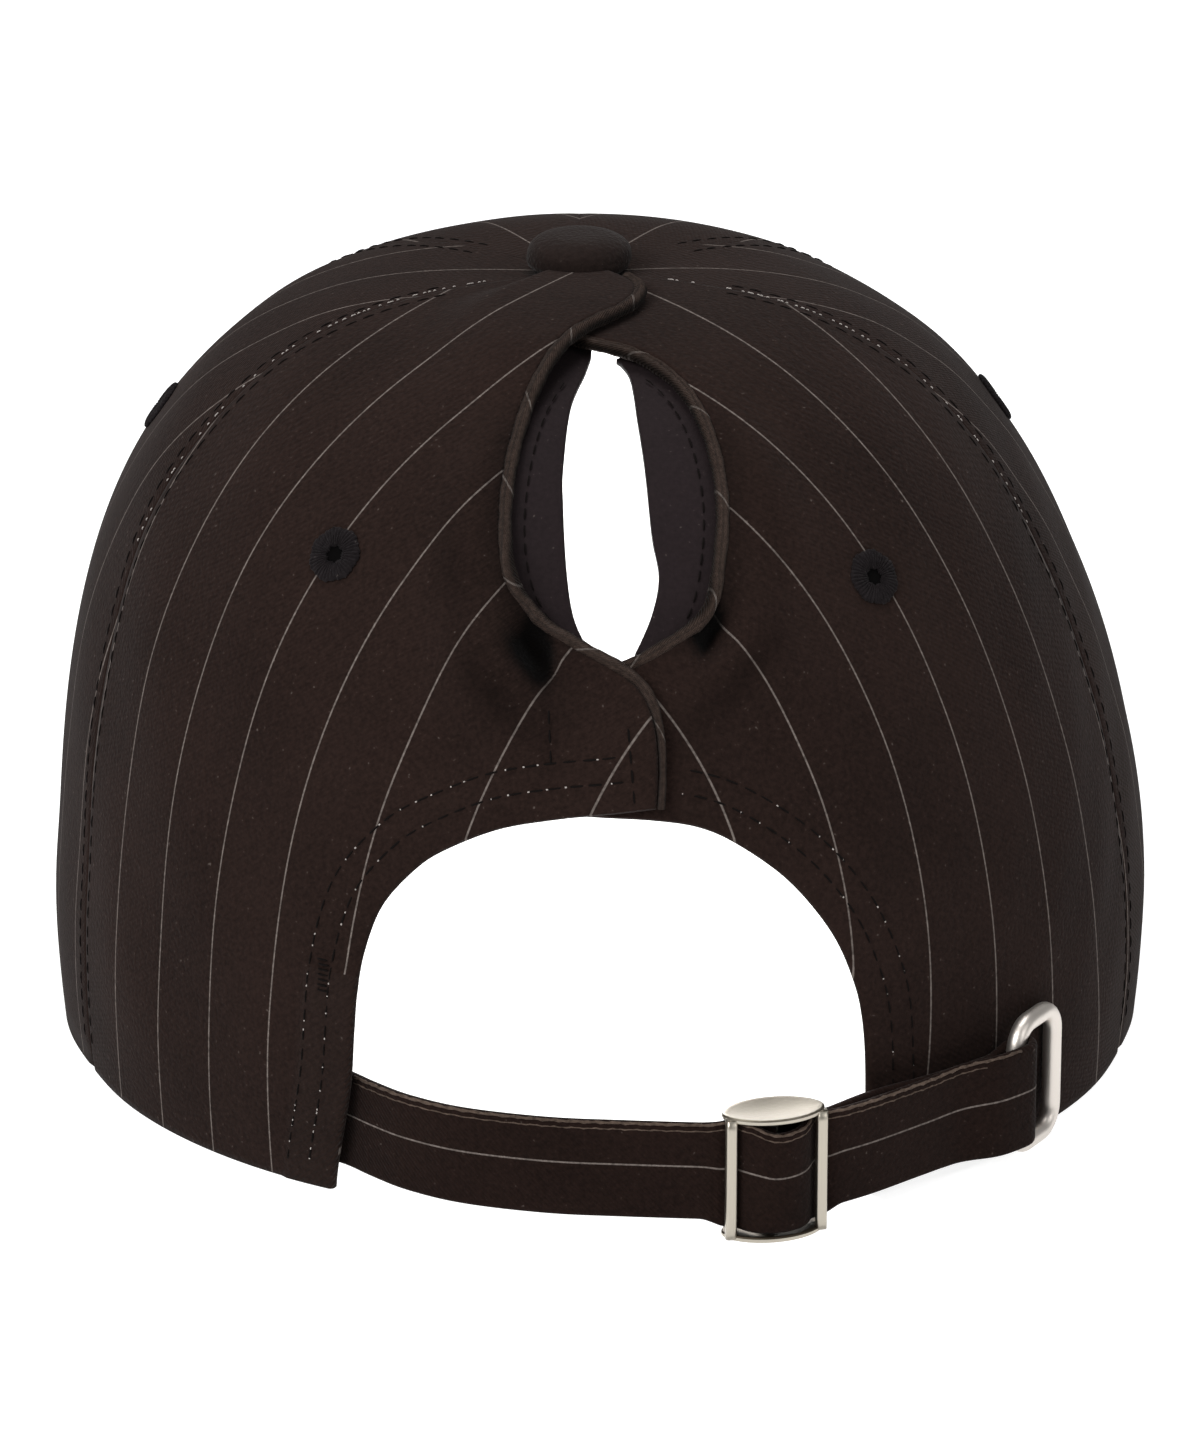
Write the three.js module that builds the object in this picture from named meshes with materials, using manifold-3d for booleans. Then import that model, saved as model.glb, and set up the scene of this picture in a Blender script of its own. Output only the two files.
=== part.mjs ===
// A ponytail baseball cap at rest on its rim: six crown panels, peak, button,
// eyelets, a bound ponytail slit and a strap with its slider and ring.
// Millimetres, +Z up. The cap's back faces -Y and its peak points along +Y.
import * as THREE from "three";
import { mergeVertices } from "three/addons/utils/BufferGeometryUtils.js";
import Module from "manifold-3d";

const wasm = await Module();
wasm.setup();

// Driving sizes.
const gap = 0.3;
const wall = 1.5;
const crownHeight = 118.5;
const crownHalfWidth = 85.9;
const crownBack = 89.5;
const crownFront = 100;
const crownLean = 3.2;
const crestLift = 3.2;
const rimTuck = 0.015;
const seamDip = 0.6;
const peakLength = 70;
const peakThick = 3;
const peakArch = 12;
const peakDroop = 4;
const buttonRadius = 8;
const tipRadius = 0.7 * buttonRadius;
const buttonHeight = 3.8;
const eyeletRadius = 4.5;
const eyeletHole = 1.1;
const eyeletThick = 1;
const pipingRadius = 1.05;
const facingThick = 0.9;
const strapThick = 1.4;
const strapWidth = 15.2;
const sliderHalfWidth = 7.75;
const sliderDepth = 9;
const sliderPlate = 0.9;
const sliderFoot = 1.9;
const sliderHead = 0.5;
const sliderBar = 1.2;
const middleBarRadius = 0.9;
const ringWire = 1.3;
const ringCorner = 2.6;
const ringHead = 0.2;
const floorClear = 0.1;

// Shape of the crown. Powers round the dome; angles are degrees round the
// crown from the centre back (right side positive) and degrees of climb.
const climbPower = 0.842;
const sidePower = 0.62;
const backPower = 0.6;
const frontPower = 0.8;
const backSeamLeft = -69;
const backSeamRight = 74;
const frontSeam = 126;
const peakTip = 106;

const rad = THREE.MathUtils.degToRad;
const deg = THREE.MathUtils.radToDeg;
const clamp = THREE.MathUtils.clamp;
const smooth = (x, low, high) => THREE.MathUtils.smoothstep(x, low, high);

// Climb at which the panels end, under the button.
const topClimb = deg(Math.acos(
  (tipRadius / crownHalfWidth) ** (1 / sidePower)));

// The two bound edges of the slit: [degrees round, degrees of climb].
const leftEdge = [
  [6.8, 27.4], [7.4, 30.5], [7.5, 34.2], [6.4, 37.2], [3.8, 39], [0, 40.8],
  [-3.4, 42.6], [-6.4, 44.9], [-8.8, 48.2], [-10.4, 53.3], [-11, 58.9],
  [-11, 65.2], [-9.7, 71.8], [-4.9, 78.4], [3.5, 82], [18.5, 84.4],
  [34, 86.8], [38, 88.2], [38, topClimb]];
const rightEdge = [
  [-5, 27.4], [-5, 31], [-5, 34.5], [-4, 37], [0, 38.4], [5.4, 39.4],
  [10, 41.2], [14.2, 43], [17, 45.6], [19.3, 50.5], [21.2, 55.8],
  [22.4, 61.7], [22.8, 67.8], [21.2, 73.6], [15.7, 78], [7.7, 80],
  [-2, 81.6], [-12, 83.8], [-18, 86], [-20, topClimb]];
const leftFacing = [
  [1, 42.6], [-0.6, 45.4], [-1.5, 50.4], [-2.2, 58], [-2.4, 62.9],
  [-1.4, 72], [2, 77.5], [3.4, 79.4]];
const rightFacing = [
  [6.6, 42.6], [8.8, 45.4], [10.4, 50.4], [10.6, 58], [10.8, 62.9],
  [11.4, 70], [12.4, 76], [11, 79.2]];

// The arch under the slit, as degrees like the edges above.
const archFoot = 10;
const archSide = 26.4;
const archPower = 2.4;

const halfTurn = 180;
const cloth = { color: 0x2b292c, roughness: 0.9, metalness: 0 };
const trim = { color: 0x4a3d38, roughness: 0.9, metalness: 0 };
const thread = { color: 0x141214, roughness: 0.85, metalness: 0 };
const nickel = { color: 0xa9a59c, roughness: 0.35, metalness: 1 };

// Share of the crown's half sizes that is left at a climb.
function spread(around, climb) {
  const back = Math.max(Math.cos(rad(around)), 0) ** 2;
  const front = Math.max(-Math.cos(rad(around)), 0) ** 2;
  const side = 1 - back - front;
  const power = side * sidePower + back * backPower + front * frontPower;
  const low = clamp(1 - Math.sin(rad(climb)) ** climbPower / 0.22, 0, 1);
  return Math.cos(rad(climb)) ** power * (1 - rimTuck * low ** 2);
}

// Climb at which the crown has a given height.
function climbAt(height) {
  return deg(Math.asin(clamp(height / crownHeight, 0, 1) ** (1 / climbPower)));
}

// Depth of the groove along the panel seams.
function groove(around, climb) {
  const seams = [
    backSeamLeft, backSeamRight, frontSeam, -frontSeam, halfTurn, -halfTurn];
  const nearest = Math.min(...seams.map((seam) => Math.abs(around - seam)));
  const away = crownHalfWidth * spread(around, climb) * rad(nearest);
  return seamDip * Math.exp(-((away / (8 * wall)) ** 2));
}

// A point of the crown, a depth in from its outer face.
function crownPoint(around, climb, depth) {
  const inset = depth + groove(around, climb);
  const share = spread(around, climb);
  const reach = Math.cos(rad(around)) > 0 ? crownBack : crownFront;
  const x = (crownHalfWidth - inset) * share * Math.sin(rad(around));
  const y = -(reach - inset) * share * Math.cos(rad(around));
  const rise = Math.sin(rad(climb)) ** climbPower;
  const crest = crestLift * smooth(rise, 0.5, 1) * smooth(y, 0, 0.3 * crownFront)
    * Math.exp(-(((y - 0.42 * crownFront) / (0.32 * crownFront)) ** 2)
      - (x / (0.6 * crownHalfWidth)) ** 2);
  const z = (crownHeight - depth) * rise + crest;
  const lean = crownLean * smooth(rise, 0.25, 0.8);
  return new THREE.Vector3(x - lean, y, z);
}

// Outward direction of the crown at a point.
function crownNormal(around, climb) {
  const step = 0.5;
  const east = crownPoint(around + step, climb, 0);
  east.sub(crownPoint(around - step, climb, 0));
  const north = crownPoint(around, Math.min(climb + step, topClimb), 0);
  north.sub(crownPoint(around, climb - step, 0));
  return east.cross(north).normalize();
}

// How far the left back panel stands out where it laps over the right one.
const lap = wall / 2 + pipingRadius + 1.5 * gap;
function lapLift(around, climb) {
  const lateral = crownHalfWidth * spread(around, climb) * Math.sin(rad(around));
  const across = smooth(lateral / crownHalfWidth, -0.3, -0.12)
    * smooth(around, -60, -35);
  const slit = smooth(climb, 45, 52) * (1 - smooth(climb, 68, 74));
  return lap * across * (1 - slit);
}

// Height of the peak's underside.
function peakUnder(x, y) {
  const bow = 1 - (x / crownHalfWidth) ** 2;
  const forward = clamp((y - crownFront) / peakLength, 0, 1);
  return Math.max(bow, 0) * (peakArch - peakDroop * forward);
}

// Climb of the rim: level at the back and sides, raised over the peak.
function rimClimb(around) {
  const outer = crownPoint(around, 0, 0);
  const front = smooth(Math.abs(around), peakTip - 16, peakTip + 4);
  return climbAt(peakUnder(outer.x, outer.y) * front);
}

// A closed shell between two grids of points that share their outline.
function shell(outer, inner) {
  const rows = outer.length;
  const columns = outer[0].length;
  const points = [...outer.flat(), ...inner.flat()];
  const half = rows * columns;
  const at = (row, column) => row * columns + column;
  const index = [];
  const quad = (a, b, c, d) => index.push(a, b, c, a, c, d);
  for (let row = 0; row < rows - 1; row++) {
    for (let column = 0; column < columns - 1; column++) {
      const a = at(row, column);
      const b = at(row, column + 1);
      const c = at(row + 1, column + 1);
      const d = at(row + 1, column);
      quad(b, c, d, a);
      quad(half + b, half + a, half + d, half + c);
    }
  }
  for (let row = 0; row < rows - 1; row++) {
    const first = [at(row, 0), at(row + 1, 0)];
    const last = [at(row, columns - 1), at(row + 1, columns - 1)];
    quad(first[0], first[1], half + first[1], half + first[0]);
    quad(last[1], last[0], half + last[0], half + last[1]);
  }
  for (let column = 0; column < columns - 1; column++) {
    const low = [at(0, column), at(0, column + 1)];
    const high = [at(rows - 1, column), at(rows - 1, column + 1)];
    quad(low[1], low[0], half + low[0], half + low[1]);
    quad(high[0], high[1], half + high[1], half + high[0]);
  }
  const geometry = new THREE.BufferGeometry();
  geometry.setFromPoints(points);
  geometry.setIndex(index);
  return geometry;
}

// A round cord through points, with flat ends. Each point carries the two
// directions that its cross-section lies in.
function cord(path, radius, sides) {
  const points = [];
  for (const { centre, out, side } of path) {
    for (let k = 0; k < sides; k++) {
      const turn = (2 * Math.PI * k) / sides;
      points.push(centre.clone()
        .addScaledVector(out, radius * Math.cos(turn))
        .addScaledVector(side, radius * Math.sin(turn)));
    }
  }
  const index = [];
  const last = (path.length - 1) * sides;
  for (let row = 0; row < path.length - 1; row++) {
    for (let k = 0; k < sides; k++) {
      const next = (k + 1) % sides;
      const a = row * sides + k;
      const b = row * sides + next;
      index.push(a, b, b + sides, a, b + sides, a + sides);
    }
  }
  for (let k = 1; k < sides - 1; k++) {
    index.push(0, k + 1, k);
    index.push(last, last + k, last + k + 1);
  }
  const geometry = new THREE.BufferGeometry();
  geometry.setFromPoints(points);
  geometry.setIndex(index);
  return geometry;
}

function toManifold(geometry) {
  const bare = geometry.index ? geometry.toNonIndexed() : geometry.clone();
  bare.deleteAttribute("normal");
  bare.deleteAttribute("uv");
  const merged = mergeVertices(bare, 1e-4);
  return new wasm.Manifold(new wasm.Mesh({
    numProp: 3,
    vertProperties: new Float32Array(merged.attributes.position.array),
    triVerts: new Uint32Array(merged.index.array),
  }));
}

function fromManifold(solid) {
  const mesh = solid.getMesh();
  const geometry = new THREE.BufferGeometry();
  const points = new THREE.BufferAttribute(mesh.vertProperties, 3);
  geometry.setAttribute("position", points);
  geometry.setIndex(new THREE.BufferAttribute(mesh.triVerts, 1));
  return geometry;
}

const group = new THREE.Group();
group.name = "ponytail_cap";

function add(name, geometry, look) {
  geometry.computeVertexNormals();
  const mesh = new THREE.Mesh(geometry, new THREE.MeshStandardMaterial(look));
  mesh.name = name;
  group.add(mesh);
}

// Degrees round that half a seam gap takes up at a climb.
function seamShare(around, climb) {
  const reach = crownHalfWidth * spread(around, climb);
  return deg(gap / 2 / reach);
}

// A panel between two seams, from the rim to the button.
function plainPanel(from, to) {
  const rows = 12;
  const columns = 11;
  const layer = (depth) => {
    const grid = [];
    for (let row = 0; row <= rows; row++) {
      const line = [];
      for (let column = 0; column <= columns; column++) {
        const share = column / columns;
        const rough = from + (to - from) * share;
        const low = rimClimb(rough);
        const climb = low + (topClimb - low) * (row / rows) ** 0.9;
        const trimmed = seamShare(rough, climb) * (1 - 2 * share);
        line.push(crownPoint(rough + trimmed, climb, depth));
      }
      grid.push(line);
    }
    return grid;
  };
  return shell(layer(0), layer(wall));
}

// The free side of a back panel: up the arch, then along the slit's edge.
function freeSide(edge, side) {
  const steps = 10;
  const [meet, archTop] = edge[0];
  const line = [0, archFoot / 2].map((climb) => [side * archSide, climb]);
  for (let k = 0; k < steps; k++) {
    const turn = (Math.PI / 2) * (k / steps);
    const across = Math.cos(turn) ** (2 / archPower);
    const up = Math.sin(turn) ** (2 / archPower);
    line.push([
      meet + (side * archSide - meet) * across,
      archFoot + (archTop - archFoot) * up]);
  }
  return [...line, ...edge];
}

// A back panel from its seam to its free side.
function backPanel(seam, edge, lift) {
  const columns = 10;
  const side = Math.sign(seam);
  const line = freeSide(edge, side);
  const layer = (depth) => line.map(([free, climb]) => {
    const start = seam - side * seamShare(seam, climb);
    const row = [];
    for (let column = 0; column <= columns; column++) {
      const share = column / columns;
      const around = start + (free - start) * share;
      row.push(crownPoint(around, climb, depth - lift(around, climb)));
    }
    return side < 0 ? row : row.reverse();
  });
  return shell(layer(0), layer(wall));
}

const flush = () => 0;
const panels = {
  crown_back_left: backPanel(backSeamLeft, leftEdge, lapLift),
  crown_back_right: backPanel(backSeamRight, rightEdge, flush),
  crown_side_left: plainPanel(-frontSeam, backSeamLeft),
  crown_side_right: plainPanel(backSeamRight, frontSeam),
  crown_front_left: plainPanel(-halfTurn, -frontSeam),
  crown_front_right: plainPanel(frontSeam, halfTurn),
};

// Eyelets: a thread ring on each panel round a small hole through the cloth.
const eyelets = {
  back_left: [-32, 48.4],
  back_right: [38.5, 45],
  side_left: [-96, 50],
  side_right: [99, 50],
  front_left: [-152, 50],
  front_right: [152, 50],
};

for (const [place, [around, climb]] of Object.entries(eyelets)) {
  const out = crownNormal(around, climb);
  const seat = crownPoint(around, climb, 0).addScaledVector(out, gap);
  const turn = new THREE.Quaternion();
  turn.setFromUnitVectors(new THREE.Vector3(0, 1, 0), out);
  const drill = new THREE.CylinderGeometry(
    eyeletHole, eyeletHole, 6 * wall, 12);
  drill.applyQuaternion(turn);
  drill.translate(seat.x, seat.y, seat.z);
  const name = `crown_${place}`;
  const cut = toManifold(panels[name]).subtract(toManifold(drill));
  panels[name] = fromManifold(cut);
  const profile = [
    [eyeletHole, 0], [eyeletRadius, 0], [eyeletRadius, 0.4 * eyeletThick],
    [0.8 * eyeletRadius, eyeletThick], [1.6 * eyeletHole, eyeletThick],
    [eyeletHole, 0.5 * eyeletThick], [eyeletHole, 0]];
  const ring = new THREE.LatheGeometry(
    profile.map(([r, y]) => new THREE.Vector2(r, y)), 16);
  ring.applyQuaternion(turn);
  ring.translate(seat.x, seat.y, seat.z);
  add(`eyelet_${place}`, fromManifold(toManifold(ring)), thread);
}

for (const [name, geometry] of Object.entries(panels)) {
  add(name, geometry, cloth);
}

// Button: a domed disc over the panels' tips.
const buttonSeat = crownHeight + lap + gap;
const buttonRows = 4;
const dome = [new THREE.Vector2(0, 0)];
for (let k = 0; k <= buttonRows; k++) {
  const turn = (Math.PI / 2) * (k / buttonRows);
  const radius = k < buttonRows ? buttonRadius * Math.cos(turn) : 0;
  dome.push(new THREE.Vector2(radius, buttonHeight * Math.sin(turn)));
}
const button = new THREE.LatheGeometry(dome, 24);
button.rotateX(Math.PI / 2);
button.translate(-crownLean, 0, buttonSeat);
add("button", fromManifold(toManifold(button)), cloth);

// Peak: an arched board sewn round the front of the rim.
const peakColumns = 24;
const peakRows = 5;
const peakPower = 2 / 2.4;
function peakPlan(share, along) {
  const side = Math.sign(share);
  const around = halfTurn - (halfTurn - peakTip) * share;
  const foot = crownPoint(around, 0, 0);
  const top = peakUnder(foot.x, foot.y) + peakThick;
  const root = crownPoint(around, climbAt(top), -2 * gap);
  const tip = crownPoint(peakTip, 0, 0);
  const turn = (Math.PI / 2) * Math.abs(share);
  const x = side * crownHalfWidth * Math.sin(turn) ** peakPower;
  const reach = crownFront + peakLength - tip.y;
  const y = tip.y + reach * Math.max(Math.cos(turn), 0) ** peakPower;
  return [root.x + (x - root.x) * along, root.y + (y - root.y) * along];
}
function peakLayer(rise) {
  const grid = [];
  for (let row = 0; row <= peakRows; row++) {
    const line = [];
    for (let column = 0; column <= peakColumns; column++) {
      const share = (2 * column) / peakColumns - 1;
      const [x, y] = peakPlan(share, row / peakRows);
      line.push(new THREE.Vector3(x, y, peakUnder(x, y) + rise));
    }
    grid.push(line);
  }
  return grid;
}
add("peak", shell(peakLayer(peakThick), peakLayer(0)), cloth);

// Binding: a round piped edge along each side of the slit.
function binding(line, side, lift) {
  const curve = new THREE.CatmullRomCurve3(
    line.map(([around, climb]) => new THREE.Vector3(around, climb, 0)));
  const steps = line.length * 2;
  const seat = curve.getPoints(steps).map(({ x, y }) => ({
    point: crownPoint(x, y, wall / 2 - lift(x, y)),
    out: crownNormal(x, y),
  }));
  const path = seat.map(({ point, out }, k) => {
    const before = seat[Math.max(k - 1, 0)].point;
    const after = seat[Math.min(k + 1, seat.length - 1)].point;
    const along = after.clone().sub(before).normalize();
    const across = along.clone().cross(out).normalize();
    const centre = point.clone()
      .addScaledVector(across, side * (pipingRadius + gap));
    return { centre, out, side: across };
  });
  return cord(path, pipingRadius, 8);
}

// The left edge is bound up to the button. The right edge is bound where the
// left panel leaves it bare, so its ends under that panel are left out.
const underLow = 4;
const underHigh = 3;
const leftPiping = binding(leftEdge.slice(0, -1), 1, lapLift);
const rightPiping = binding(rightEdge.slice(underLow, -underHigh), -1, flush);
add("binding_left", leftPiping, trim);
add("binding_right", rightPiping, trim);

// Facings: inner strips that show beyond the bound edges of the slit.
function edgeAt(edge, climb) {
  const next = edge.findIndex(([, level]) => level >= climb);
  const high = edge[Math.max(next, 1)];
  const low = edge[Math.max(next, 1) - 1];
  const share = (climb - low[1]) / (high[1] - low[1]);
  return low[0] + (high[0] - low[0]) * share;
}
function facing(edge, facingEdge, side) {
  const columns = 4;
  const start = wall / 2 + pipingRadius + gap;
  const under = 2.4;
  const layer = (depth) => facingEdge.map(([inner, climb]) => {
    const outer = edgeAt(edge, climb) + side * under;
    const line = [];
    for (let column = 0; column <= columns; column++) {
      const around = outer + ((inner - outer) * column) / columns;
      line.push(crownPoint(around, climb, depth));
    }
    return side < 0 ? line : line.reverse();
  });
  return shell(layer(start), layer(start + facingThick));
}
add("facing_left", facing(leftEdge, leftFacing, -1), thread);
add("facing_right", facing(rightEdge, rightFacing, 1), thread);

// The strap runs between the slider's plates and inside the ring's straight
// sides, so the three share their heights.
const strapBottom = sliderPlate + sliderFoot;
const strapTop = strapBottom + strapWidth;
const sliderHeight = strapTop + sliderHead + sliderPlate;
const ringTop = strapTop + ringHead + ringCorner + ringWire;

// The strap's plan: points at [degrees round, stand-off from the crown].
function plan(around, stand) {
  const point = crownPoint(around, climbAt(strapTop), -stand);
  return new THREE.Vector2(point.x, point.y);
}
const underLayer = gap + strapThick / 2;
const barStand = 3 * gap + strapThick + ringWire;
const overLayer = underLayer + strapThick + gap;
const insideStand = -(wall + 3 * gap + strapThick / 2 + rimTuck * crownHalfWidth);
const strapBow = 5.2;
const layerLift = 1.6;
const sliderAround = 15.7;
const sliderStand = 7;
const ringLeft = 44;
const ringRight = 51.9;

// A point of the strap's way out from inside the left panel: the share is 0
// inside the panel and 1 at the strap's full bow.
function onBow(around, share) {
  return plan(around, insideStand + (strapBow - insideStand) * share);
}

// The slider's own axes: along the strap and out of it.
const sliderAt = plan(sliderAround, sliderStand);
const sliderOut = plan(sliderAround, sliderStand + 1).sub(sliderAt).normalize();
const sliderAlong = new THREE.Vector2(-sliderOut.y, sliderOut.x);
function onSlider(along, out) {
  return sliderAt.clone()
    .addScaledVector(sliderAlong, along)
    .addScaledVector(sliderOut, out);
}
const wrap = middleBarRadius + gap + strapThick / 2;
const bulge = wrap + strapThick + gap;
const sideBarOut = middleBarRadius + strapThick / 2;
const throughBar = sideBarOut - 2 * gap - strapThick / 2;
const sideBarAt = sliderHalfWidth - sliderBar / 2;

// Points on an arc about a centre, turned from one direction to another.
function arc(centre, radius, from, to, steps) {
  const line = [];
  for (let k = 0; k <= steps; k++) {
    const turn = from + ((to - from) * k) / steps;
    line.push(new THREE.Vector2(
      centre.x + radius * Math.cos(turn), centre.y + radius * Math.sin(turn)));
  }
  return line;
}
function softLine(points, steps) {
  return new THREE.SplineCurve(points).getPoints(steps);
}

const ringBar = plan(ringLeft, barStand);
const ringOut = plan(ringLeft, barStand + 1).sub(ringBar);
const ringTurn = Math.atan2(ringOut.y, ringOut.x);
const fold = ringWire + 2 * gap + strapThick / 2;
const outerRun = softLine([
  onBow(-40, 0), onBow(-34, 0), onBow(-28, 0), onBow(-23.5, 0.25),
  onBow(-19, 0.52), onBow(-13, 0.75), onBow(-5, 0.9), onBow(2, 1),
  onSlider(-1.25 * sideBarAt, throughBar), onSlider(-sideBarAt, throughBar),
  onSlider(-0.8 * sideBarAt, throughBar), onSlider(-0.42 * sideBarAt, 0.72 * bulge),
  onSlider(0, bulge), onSlider(0.42 * sideBarAt, 0.72 * bulge),
  onSlider(0.8 * sideBarAt, throughBar), onSlider(sideBarAt, throughBar),
  onSlider(1.25 * sideBarAt, throughBar), onBow(sliderAround + 10, 1.12),
  plan(ringLeft - 12, overLayer + layerLift),
  plan(ringLeft - 7.5, overLayer + 0.7 * layerLift),
  plan(ringLeft - 3.7, barStand + fold - gap),
  plan(ringLeft - 1, barStand + fold)], 60);
const foldRun = arc(ringBar, fold, ringTurn, ringTurn + Math.PI, 8);
const innerRun = softLine([
  plan(ringLeft - 3, underLayer), plan(ringLeft - 6, underLayer),
  plan(ringLeft - 11, underLayer), plan(ringLeft - 15, underLayer + 0.5 * gap),
  plan(ringLeft - 18, underLayer + 0.6 * layerLift),
  onSlider(1.1 * sideBarAt, -wrap - 2 * gap),
  onSlider(0.5 * sideBarAt, -wrap)], 18);
const sliderTurn = Math.atan2(sliderOut.y, sliderOut.x);
const wrapRun = arc(
  sliderAt, wrap, sliderTurn - Math.PI, sliderTurn, 8);

// A flat band of even thickness along a line in plan.
function band(line, thickness) {
  const left = [];
  const right = [];
  line.forEach((point, k) => {
    const before = line[Math.max(k - 1, 0)];
    const after = line[Math.min(k + 1, line.length - 1)];
    const along = after.clone().sub(before).normalize();
    const across = new THREE.Vector2(-along.y, along.x);
    left.push(point.clone().addScaledVector(across, thickness / 2));
    right.push(point.clone().addScaledVector(across, -thickness / 2));
  });
  return new THREE.Shape([...left, ...right.reverse()]);
}
const strap = new THREE.ExtrudeGeometry(
  band([...outerRun, ...foldRun, ...innerRun, ...wrapRun], strapThick),
  { depth: strapWidth, bevelEnabled: false, steps: 1 });
strap.translate(0, 0, strapBottom);
add("strap", fromManifold(toManifold(strap)), cloth);

// Slider: two oval plates joined by two side bars and a middle bar.
function upright(along, out, width, depth) {
  const bar = new THREE.BoxGeometry(width, depth, sliderHeight - sliderPlate);
  bar.translate(along, out, sliderHeight / 2);
  return bar;
}
function plate(bottom) {
  const oval = new THREE.CylinderGeometry(1, 1, sliderPlate, 28);
  oval.rotateX(Math.PI / 2);
  oval.scale(sliderHalfWidth, sliderDepth / 2, 1);
  oval.translate(0, 0.06 * sliderDepth, bottom + sliderPlate / 2);
  return oval;
}
const middleBar = new THREE.CylinderGeometry(
  middleBarRadius, middleBarRadius, sliderHeight - sliderPlate, 12);
middleBar.rotateX(Math.PI / 2);
middleBar.translate(0, 0, sliderHeight / 2);
const sideBarMid = sideBarOut + sliderBar / 2;
const frame = wasm.Manifold.union([
  plate(0), plate(sliderHeight - sliderPlate), middleBar,
  upright(-sideBarAt, sideBarMid, sliderBar, sliderBar),
  upright(sideBarAt, sideBarMid, sliderBar, sliderBar)].map(toManifold));
const slider = fromManifold(frame);
const axes = new THREE.Matrix4().makeBasis(
  new THREE.Vector3(-sliderAlong.x, -sliderAlong.y, 0),
  new THREE.Vector3(sliderOut.x, sliderOut.y, 0),
  new THREE.Vector3(0, 0, 1));
slider.applyMatrix4(axes);
slider.translate(sliderAt.x, sliderAt.y, 0);
add("slider", slider, nickel);

// Ring: a wire loop standing against the crown, its left bar in the fold.
const ringFar = plan(ringRight, ringWire + gap);
const ringAlong = ringFar.clone().sub(ringBar);
const ringSpan = ringAlong.length();
ringAlong.normalize();
const ringLow = ringWire + floorClear;
const ringHigh = ringTop - ringWire;
const ringInward = new THREE.Vector3(-ringAlong.y, ringAlong.x, 0);
const corners = [
  [ringSpan - ringCorner, ringHigh - ringCorner, 0],
  [ringCorner, ringHigh - ringCorner, Math.PI / 2],
  [ringCorner, ringLow + ringCorner, Math.PI],
  [ringSpan - ringCorner, ringLow + ringCorner, 1.5 * Math.PI]];
const ringSteps = 4;
const wire = [];
for (const [along, up, from] of corners) {
  for (let k = 0; k <= ringSteps; k++) {
    const turn = from + (Math.PI / 2) * (k / ringSteps);
    const inPlane = new THREE.Vector3(
      ringAlong.x * Math.cos(turn), ringAlong.y * Math.cos(turn),
      Math.sin(turn));
    const run = along + ringCorner * Math.cos(turn);
    wire.push({
      centre: new THREE.Vector3(
        ringBar.x + ringAlong.x * run, ringBar.y + ringAlong.y * run,
        up + ringCorner * Math.sin(turn)),
      out: inPlane,
      side: ringInward,
    });
  }
}
function loop(path, radius, sides) {
  const points = path.flatMap(({ centre, out, side }) => {
    const circle = [];
    for (let k = 0; k < sides; k++) {
      const turn = (2 * Math.PI * k) / sides;
      circle.push(centre.clone()
        .addScaledVector(out, radius * Math.cos(turn))
        .addScaledVector(side, radius * Math.sin(turn)));
    }
    return circle;
  });
  const index = [];
  for (let row = 0; row < path.length; row++) {
    for (let k = 0; k < sides; k++) {
      const a = row * sides + k;
      const b = row * sides + ((k + 1) % sides);
      const c = ((row + 1) % path.length) * sides + ((k + 1) % sides);
      const d = ((row + 1) % path.length) * sides + k;
      index.push(a, b, c, a, c, d);
    }
  }
  const geometry = new THREE.BufferGeometry();
  geometry.setFromPoints(points);
  geometry.setIndex(index);
  return geometry;
}
add("ring", loop(wire, ringWire, 10), nickel);

// The origin goes under the middle of the whole cap.
const bounds = new THREE.Box3().setFromObject(group);
const middle = bounds.getCenter(new THREE.Vector3());
for (const mesh of group.children) {
  mesh.geometry.translate(-middle.x, -middle.y, -bounds.min.z);
}

export default group;
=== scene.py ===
# A ponytail baseball cap seen from behind, standing on its rim.
# Shapes are worked out in millimetres, and make_object turns them to metres.
import math

import bmesh
import bpy
import numpy as np
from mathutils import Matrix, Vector


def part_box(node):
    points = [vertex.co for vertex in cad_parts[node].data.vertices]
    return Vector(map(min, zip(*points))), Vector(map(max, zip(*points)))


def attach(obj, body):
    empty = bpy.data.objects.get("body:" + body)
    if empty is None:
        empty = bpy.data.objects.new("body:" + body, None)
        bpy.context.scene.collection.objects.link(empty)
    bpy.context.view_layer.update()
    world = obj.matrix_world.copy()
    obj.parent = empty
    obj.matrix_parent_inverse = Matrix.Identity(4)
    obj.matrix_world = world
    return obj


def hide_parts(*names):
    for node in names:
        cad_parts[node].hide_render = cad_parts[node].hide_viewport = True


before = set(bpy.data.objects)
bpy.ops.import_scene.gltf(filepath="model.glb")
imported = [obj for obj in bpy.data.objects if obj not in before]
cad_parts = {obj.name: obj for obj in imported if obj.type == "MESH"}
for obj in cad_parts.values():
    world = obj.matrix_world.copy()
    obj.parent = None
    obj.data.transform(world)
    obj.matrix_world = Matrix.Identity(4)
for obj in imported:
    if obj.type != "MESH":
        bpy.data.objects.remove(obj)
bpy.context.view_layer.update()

MM = 0.001
RNG = np.random.default_rng(7)

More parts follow.
